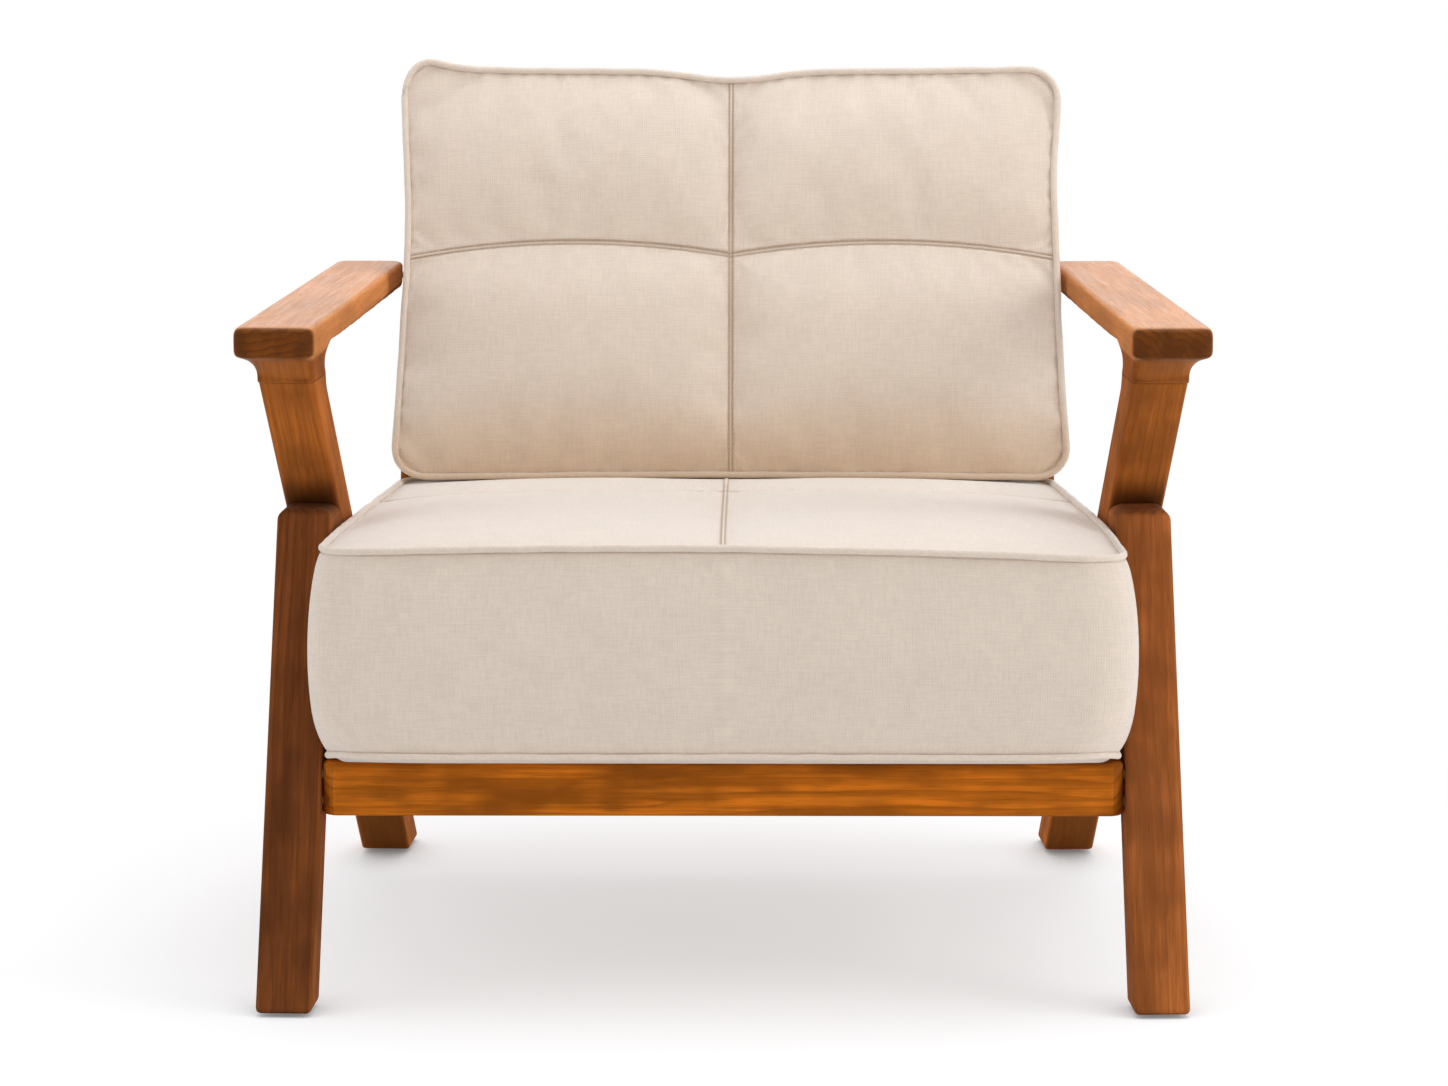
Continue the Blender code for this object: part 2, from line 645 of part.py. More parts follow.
def back_rail(name, bottom, back, uprights):
    """A rail between the uprights, doweled into them at both ends."""
    half = BACK_HALF - UPRIGHT_WIDTH - FIT_GAP
    inset = (UPRIGHT_DEPTH - BACK_RAIL_DEPTH) / 2
    low = (-half, inset, bottom)
    high = (half, inset + BACK_RAIL_DEPTH, bottom + BACK_RAIL_HEIGHT)
    rail = piece(name, rounded(block(low, high), EDGE_ROUND / 2), FINISHES["rail_wood"], back)
    for word, side in SIDES.items():
        origin = (side * half, UPRIGHT_DEPTH / 2, bottom + BACK_RAIL_HEIGHT / 2)
        dowel(f"{name}_dowel_{word}", back, origin, (side, 0, 0), [rail, uprights[word]])
    return rail


def back_slats(back, lower, upper, low, high):
    """Upright slats whose ends are housed in the lower and the upper rail."""
    half = BACK_HALF - UPRIGHT_WIDTH
    pitch = 2 * half / (BACK_SLAT_COUNT + 1)
    front = (UPRIGHT_DEPTH - BACK_SLAT_THICKNESS) / 2
    for i in range(BACK_SLAT_COUNT):
        middle = (i + 1) * pitch - half
        corners = [
            Vector((middle - BACK_SLAT_WIDTH / 2, front, low - BACK_SLAT_TENON)),
            Vector((middle + BACK_SLAT_WIDTH / 2, front + BACK_SLAT_THICKNESS, high + BACK_SLAT_TENON)),
        ]
        name = f"back_slat_{i + 1}"
        bm = rounded(block(*corners), EDGE_ROUND / 2, steps=2)
        piece(name, bm, FINISHES["slat_wood"], back)
        grow = Vector((FIT_GAP, FIT_GAP, FIT_GAP))
        tool = helper(piece(f"{name}_housing", block(corners[0] - grow, corners[1] + grow), None, back))
        combine(lower, tool, "DIFFERENCE")
        combine(upper, tool, "DIFFERENCE")


def back_frame(chair):
    back = back_place(chair)
    uprights = {word: upright(f"{word}_back_upright", side, back) for word, side in SIDES.items()}
    low = BACK_RAIL_RISE
    top = up_the_back(BACK_TOP_HEIGHT) - UPRIGHT_TOP_ROUND - BACK_RAIL_HEIGHT
    lower = back_rail("back_lower_rail", low, back, uprights)
    upper = back_rail("back_top_rail", top, back, uprights)
    back_slats(back, lower, upper, low + BACK_RAIL_HEIGHT, top)
    return uprights


# Joints between the frames
def join_frames(chair, word, side, root, parts, rail, uprights):
    beam, leg, arm, front = parts
    depth = FRONT_RAIL_START + FRONT_RAIL_DEPTH / 2
    for place, share in RAIL_DOWEL_SHARES.items():
        height = FRONT_RAIL_TOP - (1 - share) * FRONT_RAIL_HEIGHT
        origin = (side * inner_half(depth), depth, height)
        dowel(f"front_rail_dowel_{word}_{place}", chair, origin, (side, 0, 0), [front, leg])

    crossing = beam_front(rail_middle(BACK_FOOT_START)) + BEAM_RUN / 2
    inner = TIMBER_WIDTH + FIT_GAP + SIDE_RAIL_THICKNESS
    origin = (-side * inner, crossing, rail_middle(crossing))
    clamped = SIDE_RAIL_THICKNESS + FIT_GAP
    bolt(f"{word}_side_rail_bolt", root, origin, (side, 0, 0), clamped, [rail, beam])

    level = rail_middle(BACK_FOOT_START)
    half = inner_half(BACK_FOOT_START) - SIDE_RAIL_THICKNESS / 2
    origin = (side * half, back_front(level), level)
    dowel(f"{word}_side_rail_dowel", chair, origin, BACK_NORMAL, [rail, uprights[word]])

    reach = back_front(ARM_UNDERSIDE) + UPRIGHT_DEPTH / 2
    fall = (reach - ARM_START) * math.tan(math.radians(ARM_FALL))
    level = ARM_UNDERSIDE + ARM_THICKNESS / 2 - fall
    origin = (side * (BACK_HALF - UPRIGHT_WIDTH), reach, level)
    bolt(f"{word}_arm_bolt", chair, origin, (side, 0, 0), UPRIGHT_WIDTH, [uprights[word], arm])


# Cushions, drawn lying flat: X across, Y from the front or lower edge, Z up from the sole
def panel_lines(length, seam):
    """Grid lines along one way of a panel, closer together beside the edges and the seam."""
    lines = []
    for start, end in ((0.0, seam), (seam, length)):
        for i in range(PANEL_STEPS):
            lines.append(start + (end - start) * (0.5 - 0.5 * math.cos(math.pi * i / PANEL_STEPS)))
    return [*lines, length]


class Cushion:
    """A boxed cushion: outline, crowned top with a cross of sewn seams, and bulging sides."""

    def __init__(self, length, widths, boxing, crown, bulge, seam, seam_depth):
        self.length, self.boxing = length, boxing
        self.width_start, self.width_end = widths
        self.crown, self.bulge = crown, bulge
        self.seam, self.seam_depth = seam, seam_depth
        self.waist = self.dip = self.arch = self.droop = 0.0

    def half_width(self, y):
        share = min(max(y / self.length, 0), 1)
        straight = self.width_start + (self.width_end - self.width_start) * share
        return straight / 2 - self.waist * 4 * share * (1 - share)

    def plan(self, u, y):
        """A point of the outline's inside, with its corners rounded and its ends drawn in."""
        half = self.half_width(y)
        x = u * half
        reach = self.length / 2
        v = y - reach
        over_x = max(0.0, abs(x) - half + CUSHION_CORNER) / CUSHION_CORNER
        over_y = max(0.0, abs(v) - reach + CUSHION_CORNER) / CUSHION_CORNER
        if over_x and over_y:
            x = math.copysign(half - CUSHION_CORNER * (1 - over_x * math.sqrt(1 - over_y**2 / 2)), x)
            v = math.copysign(reach - CUSHION_CORNER * (1 - over_y * math.sqrt(1 - over_x**2 / 2)), v)
        share = v / reach
        v -= share**3 * CUSHION_DRAW * (1 - u * u)
        v -= max(share, 0) ** 3 * self.dip * (1 - abs(u)) ** 2
        return x, v + reach + self.seam_shift(abs(u), y)

    def seam_shift(self, a, y):
        """How far the cross seam arches up at a share of the half width, fading to the edges."""
        rise = a * (4 * self.arch + self.droop - (4 * self.arch + 2 * self.droop) * a)
        span = self.seam if y < self.seam else self.length - self.seam
        return rise * (1 - ((y - self.seam) / span) ** 2)

    def top(self, u, y):
        """Height of the upper panel above its welt."""
        v = 2 * y / self.length - 1
        swell = (1 - u**4) * (1 - v**4)
        beside = abs(u) * self.half_width(y)
        groove = max(math.exp(-beside / SEAM_SPREAD), math.exp(-abs(y - self.seam) / SEAM_SPREAD))
        return swell * (self.crown - self.seam_depth * groove)

    def form(self):
        across_lines = [2 * x - 1 for x in panel_lines(1.0, 0.5)]
        along_lines = panel_lines(self.length, self.seam)
        bm = bmesh.new()
        welt = CUSHION_SOLE + self.boxing
        grid = []
        for y in along_lines:
            row = []
            for u in across_lines:
                row.append(bm.verts.new((*self.plan(u, y), welt + self.top(u, y))))
            grid.append(row)
        for near, far in zip(grid, grid[1:]):
            for i in range(len(near) - 1):
                bm.faces.new((near[i], near[i + 1], far[i + 1], far[i]))
        rim = grid[0][:-1] + [row[-1] for row in grid[:-1]] + grid[-1][:0:-1] + [r[0] for r in grid[:0:-1]]
        return self.sides(bm, rim)

    def sides(self, bm, rim):
        """The boxing below the rim, bulging between the welts, and the flat sole."""
        count = len(rim)
        outward = []
        for i in range(count):
            run = rim[(i + 1) % count].co - rim[i - 1].co
            outward.append(Vector((run.y, -run.x, 0)).normalized())
        rings = []
        for i in range(1, BOXING_STEPS + 1):
            share = i / BOXING_STEPS
            rings.append((CUSHION_SOLE + self.boxing * (1 - share), self.side_swell(share)))
        for i in range(1, SOLE_STEPS + 1):
            turn = math.pi / 2 * i / SOLE_STEPS
            rings.append((CUSHION_SOLE * (1 - math.sin(turn)), CUSHION_SOLE_INSET * (math.cos(turn) - 1)))
        above = rim
        for height, swell in rings:
            ring = []
            for vert, way in zip(rim, outward):
                spot = vert.co + way * swell
                ring.append(bm.verts.new((spot.x, spot.y, height)))
            for i in range(count):
                bm.faces.new((above[i], ring[i], ring[(i + 1) % count], above[(i + 1) % count]))
            above = ring
        bm.faces.new(above)
        return bm

    def side_swell(self, share):
        """How far the boxing bulges at a share of its height."""
        return self.bulge * max(0.0, math.sin(math.pi * share)) ** BULGE_FULLNESS

    def core(self, grow):
        """The foam block inside the cover."""
        inset = WADDING - grow
        ends = (inset, self.length - inset - self.dip)
        outline = [
            (-self.half_width(ends[0]) + inset + self.waist, ends[0]),
            (self.half_width(ends[0]) - inset - self.waist, ends[0]),
            (self.half_width(ends[1]) - inset - self.waist, ends[1]),
            (-self.half_width(ends[1]) + inset + self.waist, ends[1]),
        ]
        bm = upward(outline, CUSHION_SOLE + inset / 2, self.boxing - inset / 2)
        return rounded(bm, FOAM_ROUND, steps=2)

    def zip_strip(self, at_end, grow):
        """A zip with its pull, lying in the boxing at one end of the cushion."""
        way = 1 if at_end else -1
        edge = self.length if at_end else 0.0
        dip = self.dip if at_end else 0.0
        outer = edge - way * (ZIP_RECESS + CUSHION_DRAW + dip)
        inner = edge - way * (WADDING + dip - 2 * FIT_GAP)
        half = ZIP_LENGTH / 2 + grow
        middle = CUSHION_SOLE + self.boxing / 2
        thick = ZIP_WIDTH / 2 + grow
        return half, inner, outer, middle - thick, middle + thick


def shaped(bm, place):
    for vert in bm.verts:
        vert.co = place(vert.co)
    return bm


def cushion(name, form, chair, zip_at_end, place):
    """Cover with its wadding, foam block and zip, as three pieces of one loose cushion."""
    cover = piece(f"{name}_cover", shaped(form.form(), place), FINISHES["fabric"], chair)
    hole = helper(piece(f"{name}_cavity", shaped(form.core(FIT_GAP), place), None, chair))
    combine(cover, hole, "DIFFERENCE")
    piece(f"{name}_foam", shaped(form.core(0.0), place), FINISHES["foam"], chair)

    half, inner, outer, low, high = form.zip_strip(zip_at_end, 0.0)
    pull = ZIP_PULL_DEPTH * (1 if outer > inner else -1)
    pull_start = half - 2 * ZIP_PULL_LENGTH
    pull_end = half - ZIP_PULL_LENGTH
    outline = [
        (-half, inner),
        (half, inner),
        (half, outer - pull),
        (pull_end, outer - pull),
        (pull_end, outer),
        (pull_start, outer),
        (pull_start, outer - pull),
        (-half, outer - pull),
    ]
    piece(f"{name}_zip", shaped(upward(outline, low, high), place), FINISHES["nylon"], chair)
    half, inner, outer, low, high = form.zip_strip(zip_at_end, FIT_GAP)
    reach = WADDING * (1 if outer > inner else -1)
    ends = sorted((inner - reach, outer + reach))
    slot = block((-half, ends[0], low), (half, ends[1], high))
    combine(cover, helper(piece(f"{name}_zip_slot", shaped(slot, place), None, chair)), "DIFFERENCE")


def seat_form():
    rear = back_front(seat_level(BACK_FOOT_START)) - SEAT_REAR_GAP - SEAT_BULGE
    length = rear - SEAT_FRONT
    width = 2 * (inner_half(SEAT_FRONT) - SEAT_BULGE - SEAT_SIDE_GAP)
    return Cushion(
        length=length,
        widths=(width, width - 2 * length * TOE_SLOPE),
        boxing=SEAT_BOXING,
        crown=SEAT_CROWN,
        bulge=SEAT_BULGE,
        seam=SEAT_CROSS_SEAM,
        seam_depth=SEAT_SEAM_DEPTH,
    )


def seat_cushion(chair):
    tilt = Matrix.Rotation(-math.radians(SEAT_TILT), 4, "X")
    rest = Matrix.Translation((0, SEAT_FRONT, seat_level(SEAT_FRONT) + FIT_GAP)) @ tilt
    cushion("seat_cushion", seat_form(), chair, True, lambda co: rest @ co)


def back_form():
    foot = 2 * BACK_HALF + BACK_CUSHION_FLARE
    form = Cushion(
        length=BACK_CUSHION_HEIGHT,
        widths=(foot, foot - BACK_CUSHION_TAPER),
        boxing=BACK_BOXING,
        crown=BACK_CROWN,
        bulge=BACK_BULGE,
        seam=BACK_CROSS_SEAM,
        seam_depth=BACK_SEAM_DEPTH,
    )
    form.waist = BACK_CUSHION_WAIST
    form.dip = BACK_TOP_DIP
    form.arch = BACK_SEAM_ARCH
    form.droop = BACK_SEAM_DROOP
    return form


def resting_rise(seat, back, front, run):
    """How far above the seat's welt the back cushion's lower edge sits to clear the seat's crown."""
    rises = []
    for i in range(REST_STEPS + 1):
        share = i / REST_STEPS
        depth = min(front + share * run - SEAT_FRONT, seat.length)
        for j in range(REST_STEPS + 1):
            rises.append(seat.top(j / REST_STEPS, depth) + back.side_swell(share))
    return max(rises)


def back_cushion(chair):
    """The back cushion, its lower boxing cut to stand on the seat cushion."""
    seat, back = seat_form(), back_form()
    lean = math.radians(BACK_LEAN)
    thickness = CUSHION_SOLE + BACK_BOXING
    settle = math.tan(lean + math.radians(SEAT_TILT))
    run = thickness / math.cos(lean)
    welt = seat_level(BACK_FOOT_START) + CUSHION_SOLE + SEAT_BOXING
    front = back_front(welt) - run
    welt = seat_level(front) + (CUSHION_SOLE + SEAT_BOXING) / math.cos(math.radians(SEAT_TILT))
    level = welt + resting_rise(seat, back, front, run) + 2 * FIT_GAP
    low = Vector((0, back_front(level) - run - FIT_GAP, level))

    def place(co):
        behind = thickness - co.z
        raised = co.y + behind * settle * (1 - co.y / back.length)
        return low + Vector((co.x, 0, 0)) + BACK_RISE * raised + BACK_NORMAL * behind

    cushion("back_cushion", back, chair, False, place)


def stand_on_floor(chair):
    """Moves the whole chair so that the origin lies under the middle of its box."""
    bpy.context.view_layer.update()
    graph = bpy.context.evaluated_depsgraph_get()
    solids = [o for o in bpy.data.objects if o.type == "MESH" and not o.hide_render]
    corners = [o.matrix_world @ Vector(c) for o in solids for c in o.evaluated_get(graph).bound_box]
    chair.location.y = -(min(c.y for c in corners) + max(c.y for c in corners)) / 2
    bpy.context.view_layer.update()


def build():
    chair = empty("chair")
    uprights = back_frame(chair)
    front = front_rail(chair)
    for word, side in SIDES.items():
        root, beam, leg, arm = side_frame(word, side, chair)
        rail = side_rail(f"{word}_side_rail", side, root)
        corner_block(f"{word}_corner_block", side, chair)
        join_frames(chair, word, side, root, (beam, leg, arm, front), rail, uprights)
    seat_slats(chair)
    seat_cushion(chair)
    back_cushion(chair)
    stand_on_floor(chair)


clear_scene()
FINISHES = {
    "wood": finish("oiled_teak", (0.255, 0.085, 0.026), 0.45),
    "arm_wood": finish("oiled_teak_arm", (0.42, 0.17, 0.07), 0.42),
    "rail_wood": finish("oiled_teak_rail", (0.38, 0.125, 0.022), 0.45),
    "slat_wood": finish("oiled_teak_slat", (0.33, 0.14, 0.05), 0.55),
    "dowel": finish("beech_dowel", (0.56, 0.36, 0.18), 0.6),
    "fabric": finish("cream_linen", (0.78, 0.69, 0.59), 0.9),
    "foam": finish("foam", (0.85, 0.80, 0.62), 0.95),
    "steel": finish("zinc_steel", (0.55, 0.55, 0.56), 0.35, 1.0),
    "nylon": finish("dark_nylon", (0.035, 0.03, 0.028), 0.6),
}
build()
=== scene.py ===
"""Looks of a wooden lounge armchair with two loose boxed cushions.

Run as a script, it dresses the packed chair: oiled timber with solid grain on the frame,
sewn linen cushions with welts and crossed seams, and a pale stage.
"""

import math

import bpy
import numpy as np
from bpy.props import FloatProperty, FloatVectorProperty, IntProperty, PointerProperty
from bpy.types import Operator, Panel, PropertyGroup
from mathutils import Matrix, Vector, noise


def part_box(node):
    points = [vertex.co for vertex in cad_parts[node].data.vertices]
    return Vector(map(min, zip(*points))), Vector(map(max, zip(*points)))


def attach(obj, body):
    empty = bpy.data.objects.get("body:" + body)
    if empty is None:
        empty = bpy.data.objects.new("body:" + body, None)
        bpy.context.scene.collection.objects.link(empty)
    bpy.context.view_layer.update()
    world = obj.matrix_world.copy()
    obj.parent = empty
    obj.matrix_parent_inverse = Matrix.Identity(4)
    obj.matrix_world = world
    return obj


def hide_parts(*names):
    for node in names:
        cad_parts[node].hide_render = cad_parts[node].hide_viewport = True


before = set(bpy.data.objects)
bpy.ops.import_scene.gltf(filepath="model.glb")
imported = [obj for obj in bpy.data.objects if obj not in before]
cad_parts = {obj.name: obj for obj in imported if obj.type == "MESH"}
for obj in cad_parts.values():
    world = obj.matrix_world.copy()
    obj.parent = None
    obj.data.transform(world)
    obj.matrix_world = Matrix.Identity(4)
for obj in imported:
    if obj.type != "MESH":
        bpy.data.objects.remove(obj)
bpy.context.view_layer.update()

bl_info = {
    "name": "Lounge armchair looks",
    "version": (1, 0, 0),
    "blender": (4, 5, 0),
    "location": "View3D > Sidebar > Armchair",
    "description": "Dresses a wooden lounge armchair with timber, linen cushions and a stage",
    "category": "Object",
}


# Sizes and colours that a user would change
def length(name, description, default, low=0.0, high=2.0):
    return FloatProperty(
        name=name, description=description, default=default, min=low, max=high, unit="LENGTH", precision=4
    )


def colour(name, description, default):
    return FloatVectorProperty(
        name=name, description=description, default=default, size=3, min=0.0, max=1.0, subtype="COLOR"
    )


def angle(name, description, degrees):
    return FloatProperty(name=name, description=description, default=math.radians(degrees), subtype="ANGLE")


def share(name, description, default, low=0.0, high=1.0):
    return FloatProperty(name=name, description=description, default=default, min=low, max=high)


class ARMCHAIR_PG_timber(PropertyGroup):
    """Oiled hardwood of the frame"""

    beam: colour("Beams", "Mid tone of the slanted beams", (0.315, 0.092, 0.013))
    leg_left: colour("Left leg", "Mid tone of the darker front leg", (0.150, 0.043, 0.0095))
    leg_right: colour("Right leg", "Mid tone of the other front leg", (0.315, 0.094, 0.021))
    arm: colour("Arms", "Mid tone of the arms", (0.56, 0.230, 0.078))
    arm_end: colour("Arm ends", "Tone of the arms' end grain", (0.118, 0.0315, 0.0017))
    rail: colour("Rails", "Mid tone of the rails", (0.47, 0.128, 0.007))
    slat: colour("Slats", "Mid tone of the slats and blocks", (0.36, 0.15, 0.055))
    ring: length("Growth rings", "Usual width of a growth ring", 0.0062, 0.002, 0.05)
    figure: length("Figure", "How far the rings wander", 0.026, 0.0, 0.1)
    gloss: share("Gloss", "Share of full gloss that the oil leaves", 0.12)


class ARMCHAIR_PG_linen(PropertyGroup):
    """Cover cloth and its thread"""

    cloth: colour("Linen", "Colour of the linen", (0.765, 0.656, 0.555))
    shade: colour("Shaded yarn", "Colour between the yarns", (0.62, 0.48, 0.36))
    # Painted shade down in the seams and beside the welts.
    crease_shade: colour("Creases", "Colour down in the seams", (0.39, 0.265, 0.17))
    # The foot colour is painted shade with warm bounced light, near where a cushion stands.
    foot: colour("Foot", "What the cloth is multiplied with where a cushion stands", (0.95, 0.86, 0.75))
    thread: colour("Thread", "Colour of the topstitching", (0.60, 0.44, 0.31))
    pitch: length("Yarn pitch", "Distance between two yarns", 0.0018, 0.0004, 0.005)


class ARMCHAIR_PG_cushion(PropertyGroup):
    """How the two cushions are sewn and filled"""

    welt: length("Welt radius", "Radius of the corded welts", 0.0029, 0.001, 0.01)
    band: length("Seam band", "Half the width between the two rows of stitches", 0.0012, 0.0005, 0.02)
    band_rise: length("Band rise", "How far the seam band stands up", 0.0008, 0.0, 0.005)
    stitch: length("Stitch", "Length of one stitch", 0.0034, 0.001, 0.01)
    stitch_gap: length("Stitch gap", "Gap between two stitches", 0.0013, 0.0002, 0.01)
    pressure: share("Filling", "Pressure of the filling", 4.0, 0.0, 20.0)
    spare: share("Spare cloth", "Share of cloth that puckers beside the seams", 0.02, 0.0, 0.2)
    steps: IntProperty(
        name="Settling", description="Steps that the cloth settles for", default=20, min=2, max=60
    )


class ARMCHAIR_PG_stage(PropertyGroup):
    """Camera, light and floor"""

    distance: length("Distance", "Camera in front of the front feet", 3.87, 1.0, 10.0)
    height: length("Height", "Camera above the floor", 0.922, 0.1, 3.0)
    offset: length("Offset", "Camera to the right of the middle", 0.025, -1.0, 1.0)
    pitch: angle("Pitch", "Camera's look downwards", 8.04)
    yaw: angle("Yaw", "Camera's turn to the left", 0.354)
    lens: FloatProperty(
        name="Lens", description="Focal length", default=126.1, min=20.0, max=300.0, subtype="DISTANCE_CAMERA"
    )
    key: share("Key light", "Power of the lamp overhead, in watts", 42.0, 0.0, 500.0)
    fill: share("Side light", "Power of the lamps at the sides, in watts", 18.0, 0.0, 500.0)
    ambient: share("Ambient", "Strength of the light all round", 0.65, 0.0, 2.0)
    floor_lift: share("Floor lift", "Brightness that the floor shows beyond its own", 0.58, 0.0, 1.0)


GROUPS = {
    "armchair_timber": ARMCHAIR_PG_timber,
    "armchair_linen": ARMCHAIR_PG_linen,
    "armchair_cushion": ARMCHAIR_PG_cushion,
    "armchair_stage": ARMCHAIR_PG_stage,
}


# Shader building
def fill(tree, node, inputs):
    """Sets or links a node's inputs."""
    for key, value in inputs.items():
        if isinstance(value, bpy.types.NodeSocket):
            tree.links.new(value, node.inputs[key])
        else:
            node.inputs[key].default_value = value
    return node


def add(tree, kind, inputs=None, **settings):
    """A new node with its settings, values and links."""
    made = tree.nodes.new(kind)
    for key, value in settings.items():
        setattr(made, key, value)
    return fill(tree, made, inputs or {})


def sums(tree, operation, first, second=0.0, clamp=False):
    return add(tree, "ShaderNodeMath", {0: first, 1: second}, operation=operation, use_clamp=clamp).outputs[0]


def times(tree, first, second):
    return sums(tree, "MULTIPLY", first, second)


def plus(tree, first, second):
    return sums(tree, "ADD", first, second)


def vectors(tree, operation, inputs, output="Vector"):
    return add(tree, "ShaderNodeVectorMath", inputs, operation=operation).outputs[output]


def axis_of(tree, vector, axis):
    return add(tree, "ShaderNodeSeparateXYZ", {"Vector": vector}).outputs[axis]


def coords(tree, kind):
    return tree.nodes.new("ShaderNodeTexCoord").outputs[kind]


def spread(tree, value, low, high, out_low=0.0, out_high=1.0):
    """The value between two bounds, mapped smoothly to two others."""
    inputs = {"Value": value, "From Min": low, "From Max": high, "To Min": out_low, "To Max": out_high}
    return add(tree, "ShaderNodeMapRange", inputs, interpolation_type="SMOOTHSTEP").outputs["Result"]


def mixed(tree, factor, first, second, blend="MIX"):
    inputs = {0: factor, 6: first, 7: second}
    return add(tree, "ShaderNodeMix", inputs, data_type="RGBA", blend_type=blend).outputs[2]


def clouds(tree, place, scale, detail=2.0, roughness=0.5, output="Fac"):
    """Noise over places that are stretched by a scale."""
    stretched = add(tree, "ShaderNodeMapping", {"Vector": place, "Scale": scale}).outputs["Vector"]
    inputs = {"Vector": stretched, "Scale": 1.0, "Detail": detail, "Roughness": roughness}
    return add(tree, "ShaderNodeTexNoise", inputs).outputs[output]


def shader_group(name, numbers):
    """A new shader group that takes a vector and some numbers, and what it is given."""
    tree = bpy.data.node_groups.new(name, "ShaderNodeTree")
    tree.interface.new_socket("Vector", in_out="INPUT", socket_type="NodeSocketVector")
    for label, default in numbers.items():
        socket = tree.interface.new_socket(label, in_out="INPUT", socket_type="NodeSocketFloat")
        socket.default_value = default
    return tree, tree.nodes.new("NodeGroupInput").outputs


def give_out(tree, **values):
    """Ends a shader group with its outputs: numbers, and a normal."""
    for label in values:
        kind = "NodeSocketVector" if label == "Normal" else "NodeSocketFloat"
        tree.interface.new_socket(label, in_out="OUTPUT", socket_type=kind)
    out = tree.nodes.new("NodeGroupOutput")
    for label, value in values.items():
        tree.links.new(value, out.inputs[label])
    return tree


def shared(build):
    """The shader group that a function builds, built only once."""
    return bpy.data.node_groups.get(build.__name__) or build()


def timber_grain():
    """Growth rings about a pith along X, with fibres, pores and clouds of tone."""
    tree, given = shader_group("timber_grain", {"Ring Width": 0.009, "Figure": 0.02})
    place = given["Vector"]
    wander = clouds(tree, place, (2.6, 20.0, 20.0), 3.0, 0.55, "Color")
    centred = vectors(tree, "SUBTRACT", {0: wander, 1: (0.5, 0.5, 0.5)})
    moved = vectors(tree, "SCALE", {0: centred, "Scale": given["Figure"]})
    bent = vectors(tree, "ADD", {0: place, 1: moved})
    across = vectors(tree, "MULTIPLY", {0: bent, 1: (0.0, 1.0, 1.0)})
    radius = vectors(tree, "LENGTH", {0: across}, "Value")
    uneven = clouds(tree, place, (1.6, 60.0, 60.0))
    turns = plus(tree, sums(tree, "DIVIDE", radius, given["Ring Width"]), times(tree, uneven, 1.6))
    late = sums(tree, "FRACT", turns)
    falling = spread(tree, late, 0.90, 1.0, 1.0, 0.0)
    ring = times(tree, sums(tree, "POWER", late, 2.4), falling)

    fibre = clouds(tree, place, (7.0, 330.0, 330.0), 5.0, 0.62)
    pore = spread(tree, clouds(tree, place, (38.0, 1500.0, 1500.0), 1.0), 0.63, 0.72)
    cloud = clouds(tree, place, (7.0, 26.0, 26.0), 3.0, 0.6)
    curl = clouds(tree, place, (38.0, 9.0, 9.0), 1.0)
    tone = plus(tree, times(tree, cloud, 0.86), times(tree, curl, 0.14))
    relief = sums(tree, "SUBTRACT", times(tree, fibre, 0.5), times(tree, pore, 0.5))
    return give_out(tree, Ring=ring, Fibre=fibre, Pore=pore, Cloud=tone, Height=relief)


def edge_wear_and_highlight():
    """A mask along rounded edges, where the finish is painted paler: partly rubbed wear, partly a painted
    highlight.
    """
    tree, given = shader_group("edge_wear_and_highlight", {"Width": 0.0025})
    softened = add(tree, "ShaderNodeBevel", {"Radius": given["Width"]}, samples=6).outputs["Normal"]
    flat = tree.nodes.new("ShaderNodeNewGeometry").outputs["True Normal"]
    turned = spread(tree, vectors(tree, "DOT_PRODUCT", {0: softened, 1: flat}, "Value"), 0.995, 0.90)
    patchy = spread(tree, clouds(tree, given["Vector"], (18.0, 60.0, 60.0)), 0.30, 0.65)
    return give_out(tree, Mask=times(tree, turned, patchy), Normal=softened)


def linen_weave():
    """A plain weave of uneven yarns, on cloth measured in metres."""
    tree, given = shader_group("linen_weave", {"Pitch": 0.0011})
    place = given["Vector"]
    sway = clouds(tree, place, (90.0, 90.0, 90.0), 1.0, output="Color")
    swayed = vectors(tree, "MULTIPLY_ADD", {0: sway, 1: (0.0006, 0.0006, 0.0), 2: place})
    counted = [sums(tree, "DIVIDE", axis_of(tree, swayed, axis), given["Pitch"]) for axis in "XY"]
    warp, weft = (sums(tree, "SINE", times(tree, count, math.pi)) for count in counted)
    over = spread(tree, times(tree, warp, weft), -0.4, 0.4)
    under = sums(tree, "SUBTRACT", 1.0, over)
    upper = times(tree, over, sums(tree, "ABSOLUTE", warp))
    yarn = sums(tree, "ADD", upper, times(tree, under, sums(tree, "ABSOLUTE", weft)), True)
    short, long = (
        plus(tree, clouds(tree, place, (fine, slow, 1.0), 1.0), clouds(tree, place, (slow, fine, 1.0), 1.0))
        for fine, slow in ((760.0, 80.0), (420.0, 34.0))
    )
    slub = plus(tree, times(tree, short, 0.32), times(tree, long, 0.18))
    cloud = clouds(tree, place, (24.0, 24.0, 1.0), 3.0, 0.6)
    height = plus(tree, times(tree, yarn, 0.6), times(tree, slub, 0.8))
    return give_out(tree, Yarn=yarn, Slub=slub, Cloud=cloud, Height=height)


def material(name):
    made = bpy.data.materials.new(name)
    made.use_nodes = True
    tree = made.node_tree
    return made, tree, tree.nodes["Principled BSDF"]


def bumped(tree, height, distance, strength, **base):
    inputs = {"Height": height, "Distance": distance, "Strength": strength, **base}
    return add(tree, "ShaderNodeBump", inputs).outputs["Normal"]


def shaded(tone, factor):
    return (*(min(1.0, c * factor) for c in tone), 1.0)


def grain_frame(axis):
    """Rotation that turns a timber's length onto X."""
    along = Vector(axis).normalized()
    side = along.cross(Vector((0.31, 0.2, 0.93))).normalized()
    return Matrix((along, side, along.cross(side))).to_euler("XYZ")


